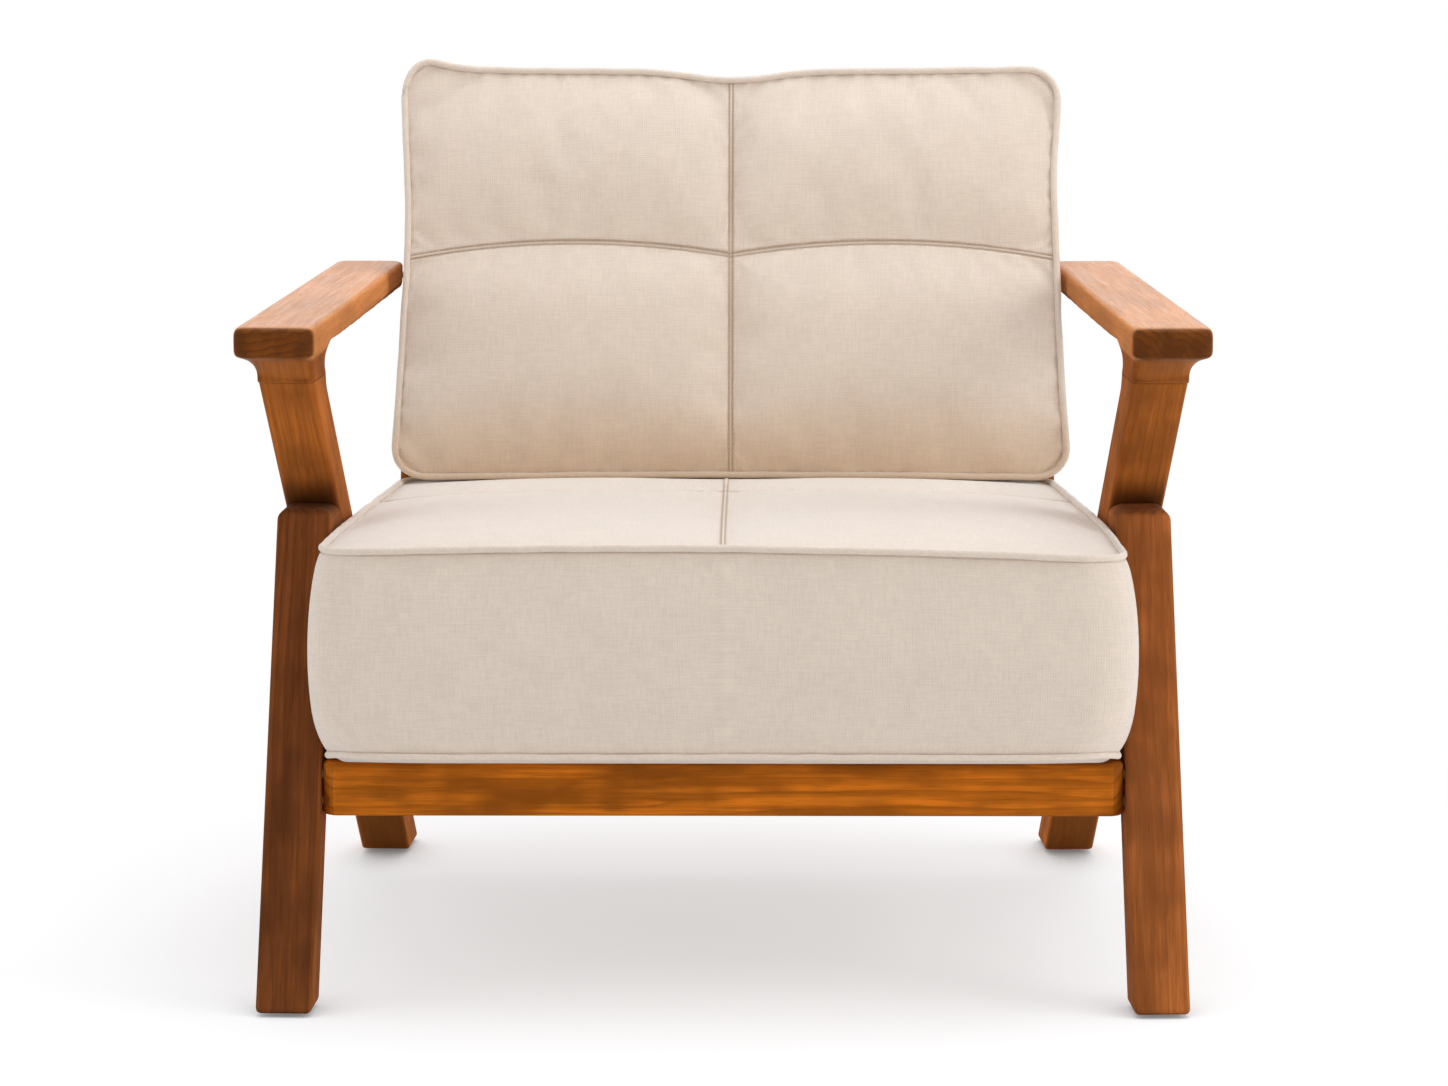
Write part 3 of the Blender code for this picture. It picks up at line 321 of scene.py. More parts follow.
def board(tree, place, tone, axis, pith, contrast=1.0, end=None):
    """Colour and grain of a board cut along an axis, its pith at a place beside it."""
    look = bpy.context.scene.armchair_timber
    turn = grain_frame(axis)
    inputs = {"Vector": place, "Rotation": turn, "Location": pith}
    mapped = add(tree, "ShaderNodeMapping", inputs).outputs["Vector"]
    inputs = {"Vector": mapped, "Ring Width": look.ring, "Figure": look.figure}
    grain = add(tree, "ShaderNodeGroup", inputs, node_tree=shared(timber_grain)).outputs
    cloud = spread(tree, grain["Cloud"], 0.36, 0.64)
    clouded = mixed(tree, cloud, shaded(tone, 1.12 - 0.42 * contrast), shaded(tone, 1.12 + 0.50 * contrast))
    late = times(tree, grain["Ring"], min(0.8, 0.1 + 0.55 * contrast))
    ringed = mixed(tree, late, clouded, shaded(tone, 0.62))
    fibres = spread(tree, grain["Fibre"], 0.60, 0.34, 0.0, 0.5 * contrast)
    streaked = mixed(tree, fibres, ringed, shaded(tone, 0.66))
    pored = mixed(tree, times(tree, grain["Pore"], 0.45), streaked, shaded(tone, 0.40))

    inputs = {"Vector": coords(tree, "Normal"), "Rotation": turn}
    turned = add(tree, "ShaderNodeMapping", inputs, vector_type="VECTOR").outputs["Vector"]
    endwise = sums(tree, "ABSOLUTE", axis_of(tree, turned, "X"))
    end_tone = tuple(c * 0.55 for c in tone) if end is None else end
    end_cloud = mixed(tree, cloud, shaded(end_tone, 0.75), shaded(end_tone, 1.7))
    rings = mixed(tree, grain["Ring"], end_cloud, shaded(end_tone, 0.6))
    colour = mixed(tree, spread(tree, endwise, 0.10, 0.55, 0.0, 0.92), pored, rings)
    return colour, grain, mapped


def timber(
    name,
    tone,
    axis,
    pith,
    contrast=1.0,
    wear_and_highlight=0.16,
    end=None,
    below=None,
    sides=None,
    painted_lit_inside=False,
    shade_above=None,
    rough=0.85,
    relief=0.3,
):
    """Oiled timber: a board with paler edges, partly rubbed wear and partly a painted highlight.

    It can show the grain of another board below its neck, painted shade on its sides, painted
    light on the inner face on the left of the chair, and painted shade on its front over a height,
    with painted light on its foot.
    """
    look = bpy.context.scene.armchair_timber
    made, tree, shader = material(name)
    place, facing = coords(tree, "Object"), coords(tree, "Normal")
    tint, grain, mapped = board(tree, place, tone, axis, pith, contrast, end)
    height = axis_of(tree, place, "Z")
    if below is not None:
        lower = board(tree, place, **below)[0]
        tint = mixed(tree, spread(tree, height, NECK_TOP + NECK_BLEND, NECK_TOP - NECK_BLEND), tint, lower)
    # Painted shade: the beam's front is darkened just above the leg's top, where the joint's shadow falls.
    if shade_above is not None:
        front = spread(tree, axis_of(tree, facing, "Y"), -0.3, -0.6)
        corner = times(tree, front, spread(tree, height, shade_above + SHADE_ABOVE_FADE, shade_above))
        tint = mixed(tree, times(tree, corner, 0.85), tint, shaded(tone, 0.30))
        # Painted light: below a height the beam's foot is made paler, as if lit.
        tint = mixed(tree, spread(tree, height, *FOOT_LIGHT_FADE), tint, PAINTED_FOOT_LIGHT, "MULTIPLY")
    upward = sums(tree, "ABSOLUTE", axis_of(tree, facing, "Z"))
    # Painted shade: faces turned away from up, the arms' sides, are darkened against their top.
    if sides is not None:
        tint = mixed(tree, spread(tree, upward, 0.75, 0.35), tint, (*sides, 1.0), "MULTIPLY")
    # Painted light: faces turned towards the chair's middle are made paler, as if lit.
    if painted_lit_inside:
        inward = spread(tree, axis_of(tree, facing, "X"), 0.5, 0.8)
        tint = mixed(tree, inward, tint, PAINTED_INSIDE_LIGHT, "MULTIPLY")
    edges = add(tree, "ShaderNodeGroup", {"Vector": mapped}, node_tree=shared(edge_wear_and_highlight)).outputs
    # Paler rounded edges: partly rubbed wear, partly a painted highlight.
    rubbed_and_lit = mixed(tree, times(tree, edges["Mask"], wear_and_highlight), tint, shaded(tone, 1.6))
    polish = spread(tree, upward, 0.5, 0.9, 0.85, rough)
    gloss = plus(tree, polish, spread(tree, grain["Fibre"], 0.3, 0.7, 0.06, -0.06))
    dulled = plus(tree, gloss, times(tree, grain["Pore"], 0.2 * contrast))
    normal = bumped(tree, grain["Height"], 0.0004, relief, Normal=edges["Normal"])
    finish = {"Base Color": rubbed_and_lit, "Roughness": dulled, "Specular IOR Level": look.gloss, "Normal": normal}
    fill(tree, shader, finish)
    return made


def linen(name, tone, foot=None):
    """Cream linen, paler where the light grazes its nap, browner towards its foot with painted shade and warm
    bounced light, and darker with painted shade in its creases.
    """
    look = bpy.context.scene.armchair_linen
    made, tree, shader = material(name)
    place = add(tree, "ShaderNodeUVMap", uv_map="cloth").outputs["UV"]
    inputs = {"Vector": place, "Pitch": look.pitch}
    weave = add(tree, "ShaderNodeGroup", inputs, node_tree=shared(linen_weave)).outputs
    yarn, slub, cloud, height = (weave[key] for key in ("Yarn", "Slub", "Cloud", "Height"))
    between = mixed(tree, spread(tree, yarn, 0.75, 0.15, 0.0, 0.5), (*tone, 1), (*look.shade, 1))
    slubbed = mixed(tree, spread(tree, slub, 0.40, 0.60), shaded(tone, 0.90), shaded(tone, 1.085))
    cloth = mixed(tree, 0.55, slubbed, between)
    clouded = mixed(tree, spread(tree, cloud, 0.35, 0.65, 0.0, 0.10), cloth, shaded(tone, 0.72))
    # Painted shade with warm bounced light: browner towards the foot.
    if foot is not None:
        low = spread(tree, axis_of(tree, coords(tree, "Object"), "Z"), foot + 0.085, foot + 0.005)
        clouded = mixed(tree, low, clouded, (*look.foot, 1), "MULTIPLY")
    # Painted shade in the seams' ditches and beside the welts.
    crease_shade = add(tree, "ShaderNodeAttribute", attribute_name="crease_shade").outputs["Fac"]
    sewn = mixed(tree, times(tree, crease_shade, 0.85), clouded, (*look.crease_shade, 1))
    nap = {"Roughness": 0.92, "Specular IOR Level": 0.18, "Sheen Weight": 0.7, "Sheen Roughness": 0.5}
    fill(tree, shader, {"Base Color": sewn, "Normal": bumped(tree, height, 0.0006, 0.55), **nap})
    return made


def plain(name, tone, roughness, metallic=0.0, grit=900.0):
    """A small part's finish, with fine grit in its tone and surface."""
    made, tree, shader = material(name)
    speck = clouds(tree, coords(tree, "Object"), (grit, grit, grit))
    gritty = mixed(tree, speck, shaded(tone, 0.85), shaded(tone, 1.15))
    dull = spread(tree, speck, 0.3, 0.7, roughness - 0.08, roughness + 0.08)
    normal = bumped(tree, speck, 0.0002, 0.3)
    fill(tree, shader, {"Base Color": gritty, "Roughness": dull, "Metallic": metallic, "Normal": normal})
    return made


def dress(node, finish):
    """Puts a finish on a node of the frame."""
    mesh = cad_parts[node].data
    if not mesh.materials:
        mesh.materials.append(finish)
    for i in range(len(mesh.materials)):
        mesh.materials[i] = finish


# Timber
SIDES = {"left": -1, "right": 1}
TOE_IN = math.radians(3.0)
ARM_TOE_IN = math.radians(1.72)
LEG_LEAN = math.radians(22.0)
BEAM_LEAN = math.radians(50.3)
BACK_LEAN = math.radians(20.2)
SEAT_TILT = math.radians(2.0)
NECK_TOP = 0.513
NECK_BLEND = 0.003
LEG_TOP = 0.381
# Painted shade: how far above the leg's top the beam's front darkens.
SHADE_ABOVE_FADE = 0.034
# Painted light on the beams' feet: the heights it fades between, and what it multiplies the colour by.
FOOT_LIGHT_FADE = (0.20, 0.06)
PAINTED_FOOT_LIGHT = (1.7, 1.75, 1.4, 1.0)
# Painted light on the left front leg's inner face: what it multiplies the colour by.
PAINTED_INSIDE_LIGHT = (1.8, 1.9, 1.75, 1.0)
ARM_MESH = 0.0016
FIRST_ROUNDS, EDGE_ROUNDS, LAST_ROUNDS = 4, 45, 5
HOLLOW_RISE = 0.024
HOLLOW_FLOW = 0.036
# The arms' sides carry painted shade against their tops.
ARM_LOOK = {"contrast": 0.34, "wear_and_highlight": 0.04, "sides": (0.84, 0.76, 0.64), "rough": 0.30, "relief": 0.04}
UP_THE_BACK = (0.0, math.sin(BACK_LEAN), math.cos(BACK_LEAN))


def toed(vector, turn):
    return Matrix.Rotation(turn, 3, "Z") @ Vector(vector)


class ARMCHAIR_OT_timber(Operator):
    """Give each timber of the frame its oiled finish, with the grain along its length"""

    bl_idname = "armchair.timber"
    bl_label = "Timber"

    def execute(self, context):
        look = context.scene.armchair_timber
        legs = {"left": tuple(look.leg_left), "right": tuple(look.leg_right)}
        for word, side in SIDES.items():
            beam = toed((0.0, -math.sin(BEAM_LEAN), math.cos(BEAM_LEAN)), side * TOE_IN)
            leg = toed((0.0, math.sin(LEG_LEAN), math.cos(LEG_LEAN)), side * TOE_IN)
            arm = toed((0.0, 1.0, 0.0), side * ARM_TOE_IN)
            pith = (0.3 * side, 0.05, 0.09)
            post = {"tone": tuple(look.beam), "axis": beam, "pith": pith, "contrast": 0.75}
            other = {"end": tuple(look.arm_end), "below": post}
            pith = (0.2 * side, 0.04, -0.50)
            arm_finish = timber(f"timber_arm_{word}", tuple(look.arm), arm, pith, **ARM_LOOK, **other)
            # Each beam gets painted shade on its front above its front leg's top.
            dress(f"{word}_beam", timber(f"timber_beam_{word}", **post, shade_above=LEG_TOP))
            # Only the left leg gets painted light on its inner face.
            pith, pale = (0.1, 0.07 * side, 0.06), word == "left"
            leg_finish = timber(f"timber_leg_{word}", legs[word], leg, pith, 0.9, painted_lit_inside=pale)
            dress(f"{word}_front_leg", leg_finish)
            dress(f"{word}_armrest", arm_finish)
            upright = timber(f"timber_upright_{word}", look.beam, UP_THE_BACK, (0.7 * side, 0.09, 0.05))
            dress(f"{word}_back_upright", upright)
            along = toed((0, 1, 0), side * TOE_IN)
            rail = timber(f"timber_side_rail_{word}", look.rail, along, (0.4, 0.06, side))
            dress(f"{word}_side_rail", rail)
        dress("front_rail", timber("timber_front_rail", look.rail, (1, 0, 0), (0.0, 0.335, -0.13), 1.25))
        back = timber("timber_back_rail", look.rail, (1, 0, 0), (0.5, 0.07, 0.3))
        for node in ("back_lower_rail", "back_top_rail"):
            dress(node, back)
        slat = timber("timber_seat_slat", look.slat, (1, 0, 0), (0.2, 0.11, 0.08), 0.8, 0.3)
        stave = timber("timber_back_slat", look.slat, UP_THE_BACK, (0.3, 0.08, 0.12), 0.8, 0.3)
        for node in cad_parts:
            if node.startswith("seat_slat") or node.endswith("corner_block"):
                dress(node, slat)
            elif node.startswith("back_slat"):
                dress(node, stave)
        return {"FINISHED"}


def finer(name, node, voxel):
    """A copy of a node on a fine even mesh, with its flat foot left crisp."""
    piece = bpy.data.objects.new(name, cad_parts[node].data.copy())
    bpy.context.scene.collection.objects.link(piece)
    points, foot = places(piece.data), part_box(node)[0].z
    points[points[:, 2] < foot + 1e-5, 2] -= 3 * voxel
    move(piece.data, points)
    even = piece.modifiers.new("even", "REMESH")
    even.mode, even.voxel_size = "VOXEL", voxel
    shaped = piece.evaluated_get(bpy.context.evaluated_depsgraph_get())
    mesh = bpy.data.meshes.new_from_object(shaped)
    piece.modifiers.clear()
    piece.data = mesh
    mesh.shade_smooth()
    points = places(mesh)
    points[:, 2] = np.maximum(points[:, 2], foot)
    move(mesh, points)
    return piece


def rubbed_down(mesh, points, weight, rounds):
    """Points drawn towards their neighbours' middle, each by its weight."""
    ends = np.empty(len(mesh.edges) * 2, dtype=np.int32)
    mesh.edges.foreach_get("vertices", ends)
    first, second = ends[::2], ends[1::2]
    count = len(points)
    near = np.bincount(first, minlength=count) + np.bincount(second, minlength=count)
    for _ in range(rounds):
        middle = np.stack(
            [
                np.bincount(first, points[second, k], count) + np.bincount(second, points[first, k], count)
                for k in range(3)
            ],
            -1,
        )
        points = points + (0.5 * weight)[:, None] * (middle / near[:, None] - points)
    return points


def ramp(values, low, high):
    part = np.clip((values - low) / (high - low), 0, 1)
    return part * part * (3 - 2 * part)


class ARMCHAIR_OT_armrests(Operator):
    """Ease the arms: their lower inner edges are rounded, and the hollow flows into the neck"""

    bl_idname = "armchair.armrests"
    bl_label = "Arms"

    def execute(self, context):
        for word, side in SIDES.items():
            node = f"{word}_armrest"
            low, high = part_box(node)
            piece = finer(f"arm_{word}", node, ARM_MESH)
            points = places(piece.data)
            x, y, z = points.T
            neck = y[z < low.z + ARM_MESH].max()
            above = ramp(z, low.z + 0.002, low.z + 0.007)
            points = rubbed_down(piece.data, points, above, FIRST_ROUNDS)

            x, y, z = points.T
            middle = -side * (low.x + high.x) / 2
            inner = ramp(-side * x, middle - 0.01, middle + 0.025)
            lower = ramp(z, NECK_TOP + 0.016, NECK_TOP + 0.004)
            weight = above * inner * lower * ramp(y, neck - 0.030, neck)
            points = rubbed_down(piece.data, points, weight, EDGE_ROUNDS)

            x, y, z = points.T
            lift = np.clip((z - low.z) / HOLLOW_RISE, 0, 1) ** 3 * ramp(z, NECK_TOP + 0.019, NECK_TOP + 0.005)
            flow = lift * ramp(y, neck + 0.16, neck + 0.02) * ramp(y, neck - 0.022, neck - 0.004)
            points[:, 1] += HOLLOW_FLOW * flow
            points = rubbed_down(piece.data, points, above, LAST_ROUNDS)
            move(piece.data, points)
            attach(piece, "frame")
            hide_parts(node)
        return {"FINISHED"}


class ARMCHAIR_OT_fixings(Operator):
    """Finish the dowels, the bolts and the glides"""

    bl_idname = "armchair.fixings"
    bl_label = "Fixings"

    def execute(self, context):
        dowel = timber("dowel_beech", (0.56, 0.36, 0.18), (1, 0, 0), (0.0, 0.03, 0.0), 0.4, 0.0)
        steel = plain("zinc_steel", (0.56, 0.56, 0.57), 0.34, 1.0, 2500.0)
        nylon = plain("dark_nylon", (0.035, 0.030, 0.028), 0.55)
        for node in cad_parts:
            if "dowel" in node:
                dress(node, dowel)
            elif node.endswith("_bolt"):
                dress(node, steel)
            elif node.endswith(("_glide", "_zip")):
                dress(node, nylon)
        return {"FINISHED"}


# Cushions, drawn lying flat: X across, Y from the front or lower edge, Z up from the sole
DRAW = 0.003
SOLE = 0.007
SOLE_INSET = 0.012
SEAM_SPREAD = 0.016
DITCH = 0.0006
WELT_LINE = 0.0022
WELT_STEP = 0.004
WELT_OUT, WELT_UP, WELT_DOWN = 0.65, 0.45, -0.30
WELT_WAVE = 0.0005
WELT_SEED = 344
THREAD = 0.00034
STITCH_SIDES = 6
STITCH_RINGS = ((0.0, 0.35, -0.2), (0.25, 1.0, 0.5), (0.75, 1.0, 0.5), (1.0, 0.35, -0.2))
STITCH_MARGIN = 0.006
CLOTH = {
    "quality": 6,
    "mass": 0.25,
    "tension_stiffness": 20.0,
    "compression_stiffness": 20.0,
    "shear_stiffness": 6.0,
    "bending_stiffness": 0.4,
    "air_damping": 2.0,
}


def unit(rows):
    return rows / np.linalg.norm(rows, axis=1)[:, None]


def bell(values, width):
    return np.exp(-((values / width) ** 2))


def run_round(path):
    """Distances along a closed path, from its first point back to that point."""
    return np.concatenate([[0.0], np.cumsum(np.linalg.norm(np.roll(path, -1, 0) - path, axis=1))])


def graded(start, end, fine=0.0005, coarse=0.008, growth=0.24):
    """Stations between two edges, closer together beside both."""
    at = np.linspace(start, end, 600)
    near = np.minimum(at - start, end - at)
    density = 1.0 / np.minimum(coarse, fine + growth * near)
    measure = np.concatenate([[0.0], np.cumsum((density[1:] + density[:-1]) / 2 * np.diff(at))])
    count = max(3, round(measure[-1]))
    return np.interp(np.linspace(0.0, measure[-1], count + 1), measure, at)


class Cushion:
    """A boxed cushion: a crowned panel with crossed seams, bulging boxing and a resting panel."""

    waist = dip = arch = droop = 0.0
    dip_width = 0.16
    pressed_from = spare = fold = 1.0
    foot = None

    def __init__(self):
        half = graded(0.0, self.width_start / 2)
        across = np.concatenate([-half[:0:-1], half]) / (self.width_start / 2)
        along = np.concatenate([graded(0.0, self.seam)[:-1], graded(self.seam, self.length)])
        self.stations = across, along
        self.u, self.y = np.meshgrid(across, along)
        self.half = self.half_width(self.y)

    def half_width(self, y):
        part = np.clip(y / self.length, 0, 1)
        straight = self.width_start + (self.width_end - self.width_start) * part
        return straight / 2 - self.waist * 4 * part * (1 - part)

    def plan(self):
        """The outline's inside, with its corners rounded, its ends drawn in and its seam arched."""
        x, reach = self.u * self.half, self.length / 2
        v = self.y - reach
        corner = self.corner
        over_x = np.maximum(0.0, np.abs(x) - self.half + corner) / corner
        over_y = np.maximum(0.0, np.abs(v) - reach + corner) / corner
        both = (over_x > 0) & (over_y > 0)
        round_x = np.sign(x) * (self.half - corner * (1 - over_x * np.sqrt(1 - over_y**2 / 2)))
        round_v = np.sign(v) * (reach - corner * (1 - over_y * np.sqrt(1 - over_x**2 / 2)))
        x, v = np.where(both, round_x, x), np.where(both, round_v, v)
        part, a = v / reach, np.abs(self.u)
        dipped = np.maximum(part, 0) ** 3 * self.dip * bell(a, self.dip_width)
        v = v - part**3 * DRAW * (1 - a * a) - dipped
        rise = a * (4 * self.arch + self.droop - (4 * self.arch + 2 * self.droop) * a)
        span = np.where(self.y < self.seam, self.seam, self.length - self.seam)
        return x, v + reach + rise * (1 - ((self.y - self.seam) / span) ** 2)

    def off_seams(self):
        """Distances from the middle seam and from the cross seam."""
        return np.abs(self.u) * self.half, np.abs(self.y - self.seam)

    def crowned(self):
        swell = (1 - self.u**4) * (1 - (2 * self.y / self.length - 1) ** 4)
        middle, cross = self.off_seams()
        deep = np.clip((self.pressed_from + 0.04 - self.y) / 0.04, 0, 1)
        groove = np.maximum(np.exp(-middle / SEAM_SPREAD) * deep, np.exp(-cross / SEAM_SPREAD))
        return swell * (self.crown - self.seam_depth * groove)

    def build(self):
        """Points, faces and cloth places of the closed cover, and the numbers of its parts."""
        x, y = self.plan()
        rows, cols = x.shape
        welt = SOLE + self.boxing
        top = np.stack([x, y, welt + self.crowned()], -1)
        edge = np.minimum.reduce([self.half - np.abs(self.u) * self.half, self.y, self.length - self.y])
        flat = np.clip(edge / SOLE_INSET, 0, 1)
        sole = np.stack([x, y, SOLE * (1 - flat * (2 - flat))], -1)
        number = np.arange(rows * cols).reshape(rows, cols)
        rim = np.concatenate([number[0, :-1], number[:-1, -1], number[-1, :0:-1], number[:0:-1, 0]])
        ring = top.reshape(-1, 3)[rim]
        run = np.roll(ring, -1, 0) - np.roll(ring, 1, 0)
        outward = unit(np.stack([run[:, 1], -run[:, 0], np.zeros(len(rim))], -1))
        levels = graded(0.0, self.boxing)[1:-1][::-1]
        boxing = []
        for level in levels:
            bulge = self.bulge * math.sin(math.pi * level / self.boxing) ** 0.7
            spot = ring + outward * bulge
            spot[:, 2] = SOLE + level
            boxing.append(spot)
        self.points = np.concatenate([top.reshape(-1, 3), *boxing, sole.reshape(-1, 3)])

        corners = number[:-1, :-1], number[:-1, 1:], number[1:, 1:], number[1:, :-1]
        grid = np.stack(corners, -1).reshape(-1, 4)
        base, count = rows * cols, len(rim)
        under = base + len(levels) * count
        rings = [rim] + [base + i * count + np.arange(count) for i in range(len(levels))] + [under + rim]
        walls = []
        for above, below in zip(rings, rings[1:]):
            walls.append(np.stack([above, below, np.roll(below, -1), np.roll(above, -1)], -1))
        self.faces = np.concatenate([grid, *walls, under + grid[:, ::-1]])

        round_trip, sheet = run_round(ring), np.stack([x, y], -1).reshape(-1, 2)
        start, end = round_trip[:-1], round_trip[1:]
        self.levels = np.concatenate([[self.boxing], levels, [0.0]])
        cloth = [sheet[grid]]
        for high, low in zip(self.levels, self.levels[1:]):
            quad = (start, high), (start, low), (end, low), (end, high)
            cloth.append(np.stack([np.stack([run, np.full(count, level)], -1) for run, level in quad], 1))
        cloth.append(sheet[grid[:, ::-1]])
        self.cloth = np.concatenate(cloth)
        self.shape, self.rings = (rows, cols), rings

    def spot(self, points, u, y):
        """Places on the crowned panel at shares across and distances along."""
        across, along = self.stations
        rows, cols = self.shape
        panel = points[: rows * cols].reshape(rows, cols, 3)
        i = np.interp(u, across, np.arange(cols))
        j = np.interp(y, along, np.arange(rows))
        left, low = np.minimum(i.astype(int), cols - 2), np.minimum(j.astype(int), rows - 2)
        fx, fy = (i - left)[:, None], (j - low)[:, None]
        near = panel[low, left] * (1 - fx) + panel[low, left + 1] * fx
        far = panel[low + 1, left] * (1 - fx) + panel[low + 1, left + 1] * fx
        return near * (1 - fy) + far * fy

    def hold_seams(self, free, reach):
        """Sewn lines and the resting panel stay; the cloth beside them gives little by little."""
        panel = self.u.size
        band = bpy.context.scene.armchair_cushion.band + 2 * DITCH
        off = np.minimum(*self.off_seams()).ravel()
        free[:panel] *= np.clip((off - band) / reach, 0, 1) ** 0.7
        free[self.rings[0]] = 0.0
        free[len(free) - panel :] = 0.0
        return free


def mesh_piece(name, points, faces, finish, cloth=None):
    mesh = bpy.data.meshes.new(name)
    mesh.from_pydata([tuple(p) for p in points], [], [tuple(f) for f in faces])
    mesh.update()
    if cloth is not None:
        layer = mesh.uv_layers.new(name="cloth")
        layer.uv.foreach_set("vector", np.asarray(cloth, np.float32).ravel())
    mesh.shade_smooth()
    mesh.materials.append(finish)
    piece = bpy.data.objects.new(name, mesh)
    bpy.context.scene.collection.objects.link(piece)
    return piece


def triples(values, key):
    found = np.empty(len(values) * 3)
    values.foreach_get(key, found)
    return found.reshape(-1, 3)


def places(mesh):
    return triples(mesh.vertices, "co")


def move(mesh, points):
    mesh.vertices.foreach_set("co", np.ascontiguousarray(points, np.float32).ravel())
    mesh.update()


def evened(form, moved, width=0.009):
    """The boxing's movement, evened out along each of its rings."""
    for ring in form.rings[1:-1]:
        run = run_round(form.points[ring])
        count = int(run[-1] / 0.003)
        at = np.linspace(0, run[-1], count, endpoint=False)
        reach = np.minimum(np.arange(count), count - np.arange(count)) * run[-1] / count
        kernel = bell(reach, width)
        kernel = np.fft.rfft(kernel / kernel.sum())
        for axis in range(3):
            values = np.append(moved[ring, axis], moved[ring[0], axis])
            soft = np.fft.irfft(np.fft.rfft(np.interp(at, run, values)) * kernel, count)
            moved[ring, axis] = np.interp(run[:-1], np.append(at, run[-1]), np.append(soft, soft[0]))
    return moved


def settle(form, piece, give):
    """Fills the cover: each point moves as pressed cloth does, up to the give it has."""
    sewing = bpy.context.scene.armchair_cushion
    start = places(piece.data)
    held = piece.vertex_groups.new(name="held")
    for i in np.nonzero(give <= 0)[0]:
        held.add([int(i)], 1.0, "REPLACE")
    change = piece.modifiers.new("filling", "CLOTH")
    cloth = change.settings
    for key, value in CLOTH.items():
        setattr(cloth, key, value)
    cloth.vertex_group_mass = "held"
    cloth.use_pressure = True
    cloth.uniform_pressure_force = sewing.pressure
    cloth.shrink_min = -sewing.spare * form.spare
    cloth.effector_weights.gravity = 0.0
    change.collision_settings.use_collision = False
    change.collision_settings.use_self_collision = False
    change.point_cache.frame_start, change.point_cache.frame_end = 1, sewing.steps
    scene = bpy.context.scene
    for step in range(1, sewing.steps + 1):
        scene.frame_set(step)
    graph = bpy.context.evaluated_depsgraph_get()
    filled = places(piece.evaluated_get(graph).data)
    piece.modifiers.remove(change)
    piece.vertex_groups.clear()
    scene.frame_set(1)
    moved = evened(form, filled - start)
    far = np.linalg.norm(moved, axis=1)
    limit = np.maximum(give, 1e-6)
    kept = np.where(far > 1e-9, limit * np.tanh(far / limit) / np.maximum(far, 1e-9), 0.0)
    move(piece.data, start + moved * kept[:, None])


def seam_band(form, piece):
    """Raises the band of each seam, sinks its two rows of stitches and marks where shade is painted in the
    creases.
    """
    sewing = bpy.context.scene.armchair_cushion
    points, out = places(piece.data), triples(piece.data.vertex_normals, "vector")
    count = form.u.size
    rise, crease_shade = np.zeros(count), np.zeros(len(points))
    for off, fold in zip(form.off_seams(), (1.0, form.fold)):
        off = off.ravel()
        band = np.clip((sewing.band - off) / DITCH + 0.5, 0, 1)
        ditch = bell(np.maximum(0, off - sewing.band - DITCH), DITCH * fold) * (off > sewing.band)
        sunk = ditch * sewing.band_rise * (band < 0.5) * fold**0.5
        rise = np.maximum(rise, band * sewing.band_rise) - sunk
        # Painted shade in each seam's ditches.
        crease_shade[:count] = np.maximum(crease_shade[:count], ditch)
    part = form.y / form.length
    edge = np.minimum.reduce([1 - np.abs(form.u), part, 1 - part]).ravel()
    points[:count] += out[:count] * (rise * np.clip(edge / 0.02, 0, 1))[:, None]
    # Painted shade on the panel beside the welts.
    beside = np.clip(1 - edge * form.length / WELT_LINE, 0, 1)
    crease_shade[:count] = np.maximum(crease_shade[:count], 0.7 * beside)
    # Painted shade on the boxing beside its welts.
    for ring, level in zip(form.rings, form.levels):
        depth = min(level, form.boxing - level)
        crease_shade[ring] = np.maximum(crease_shade[ring], np.clip(1.4 - depth / WELT_LINE, 0, 1))
    marks = piece.data.attributes.new("crease_shade", "FLOAT", "POINT")
    marks.data.foreach_set("value", crease_shade)
    move(piece.data, points)


def tube(path, radius, sides=10):
    """Points, faces and cloth places of a round cord along a closed path."""
    count = len(path)
    ahead = unit(np.roll(path, -1, 0) - np.roll(path, 1, 0))
    side = unit(np.cross(ahead, np.array([0.13, 0.31, 0.94])))
    rise = np.cross(side, ahead)
    turns = np.linspace(0, 2 * math.pi, sides, endpoint=False)[None, :, None]
    points = path[:, None] + radius * (np.cos(turns) * side[:, None] + np.sin(turns) * rise[:, None])
    number = np.arange(count * sides).reshape(count, sides)
    after, turned = np.roll(number, -1, 0), np.roll(number, -1, 1)
    faces = np.stack([number, after, np.roll(after, -1, 1), turned], -1).reshape(-1, 4)
    run = run_round(path)
    girth = radius * np.linspace(0, 2 * math.pi, sides + 1)
    s0, g0 = np.meshgrid(run[:-1], girth[:-1], indexing="ij")
    s1, g1 = np.meshgrid(run[1:], girth[1:], indexing="ij")
    corners = [np.stack(pair, -1) for pair in ((s0, g0), (s1, g0), (s1, g1), (s0, g1))]
    cloth = np.stack(corners, 2).reshape(-1, 4, 2)
    bias = np.array([[0.7071, -0.7071], [0.7071, 0.7071]])
    return points.reshape(-1, 3), faces, cloth @ bias


def evenly(path, step):
    """A closed path's points at even steps, a little smoothed."""
    run = run_round(path)
    at = np.linspace(0, run[-1], int(run[-1] / step), endpoint=False)
    closed = np.vstack([path, path[:1]])
    even = np.stack([np.interp(at, run, closed[:, i]) for i in range(3)], -1)
    for _ in range(2):
        even = (np.roll(even, 1, 0) + 2 * even + np.roll(even, -1, 0)) / 4
    return even


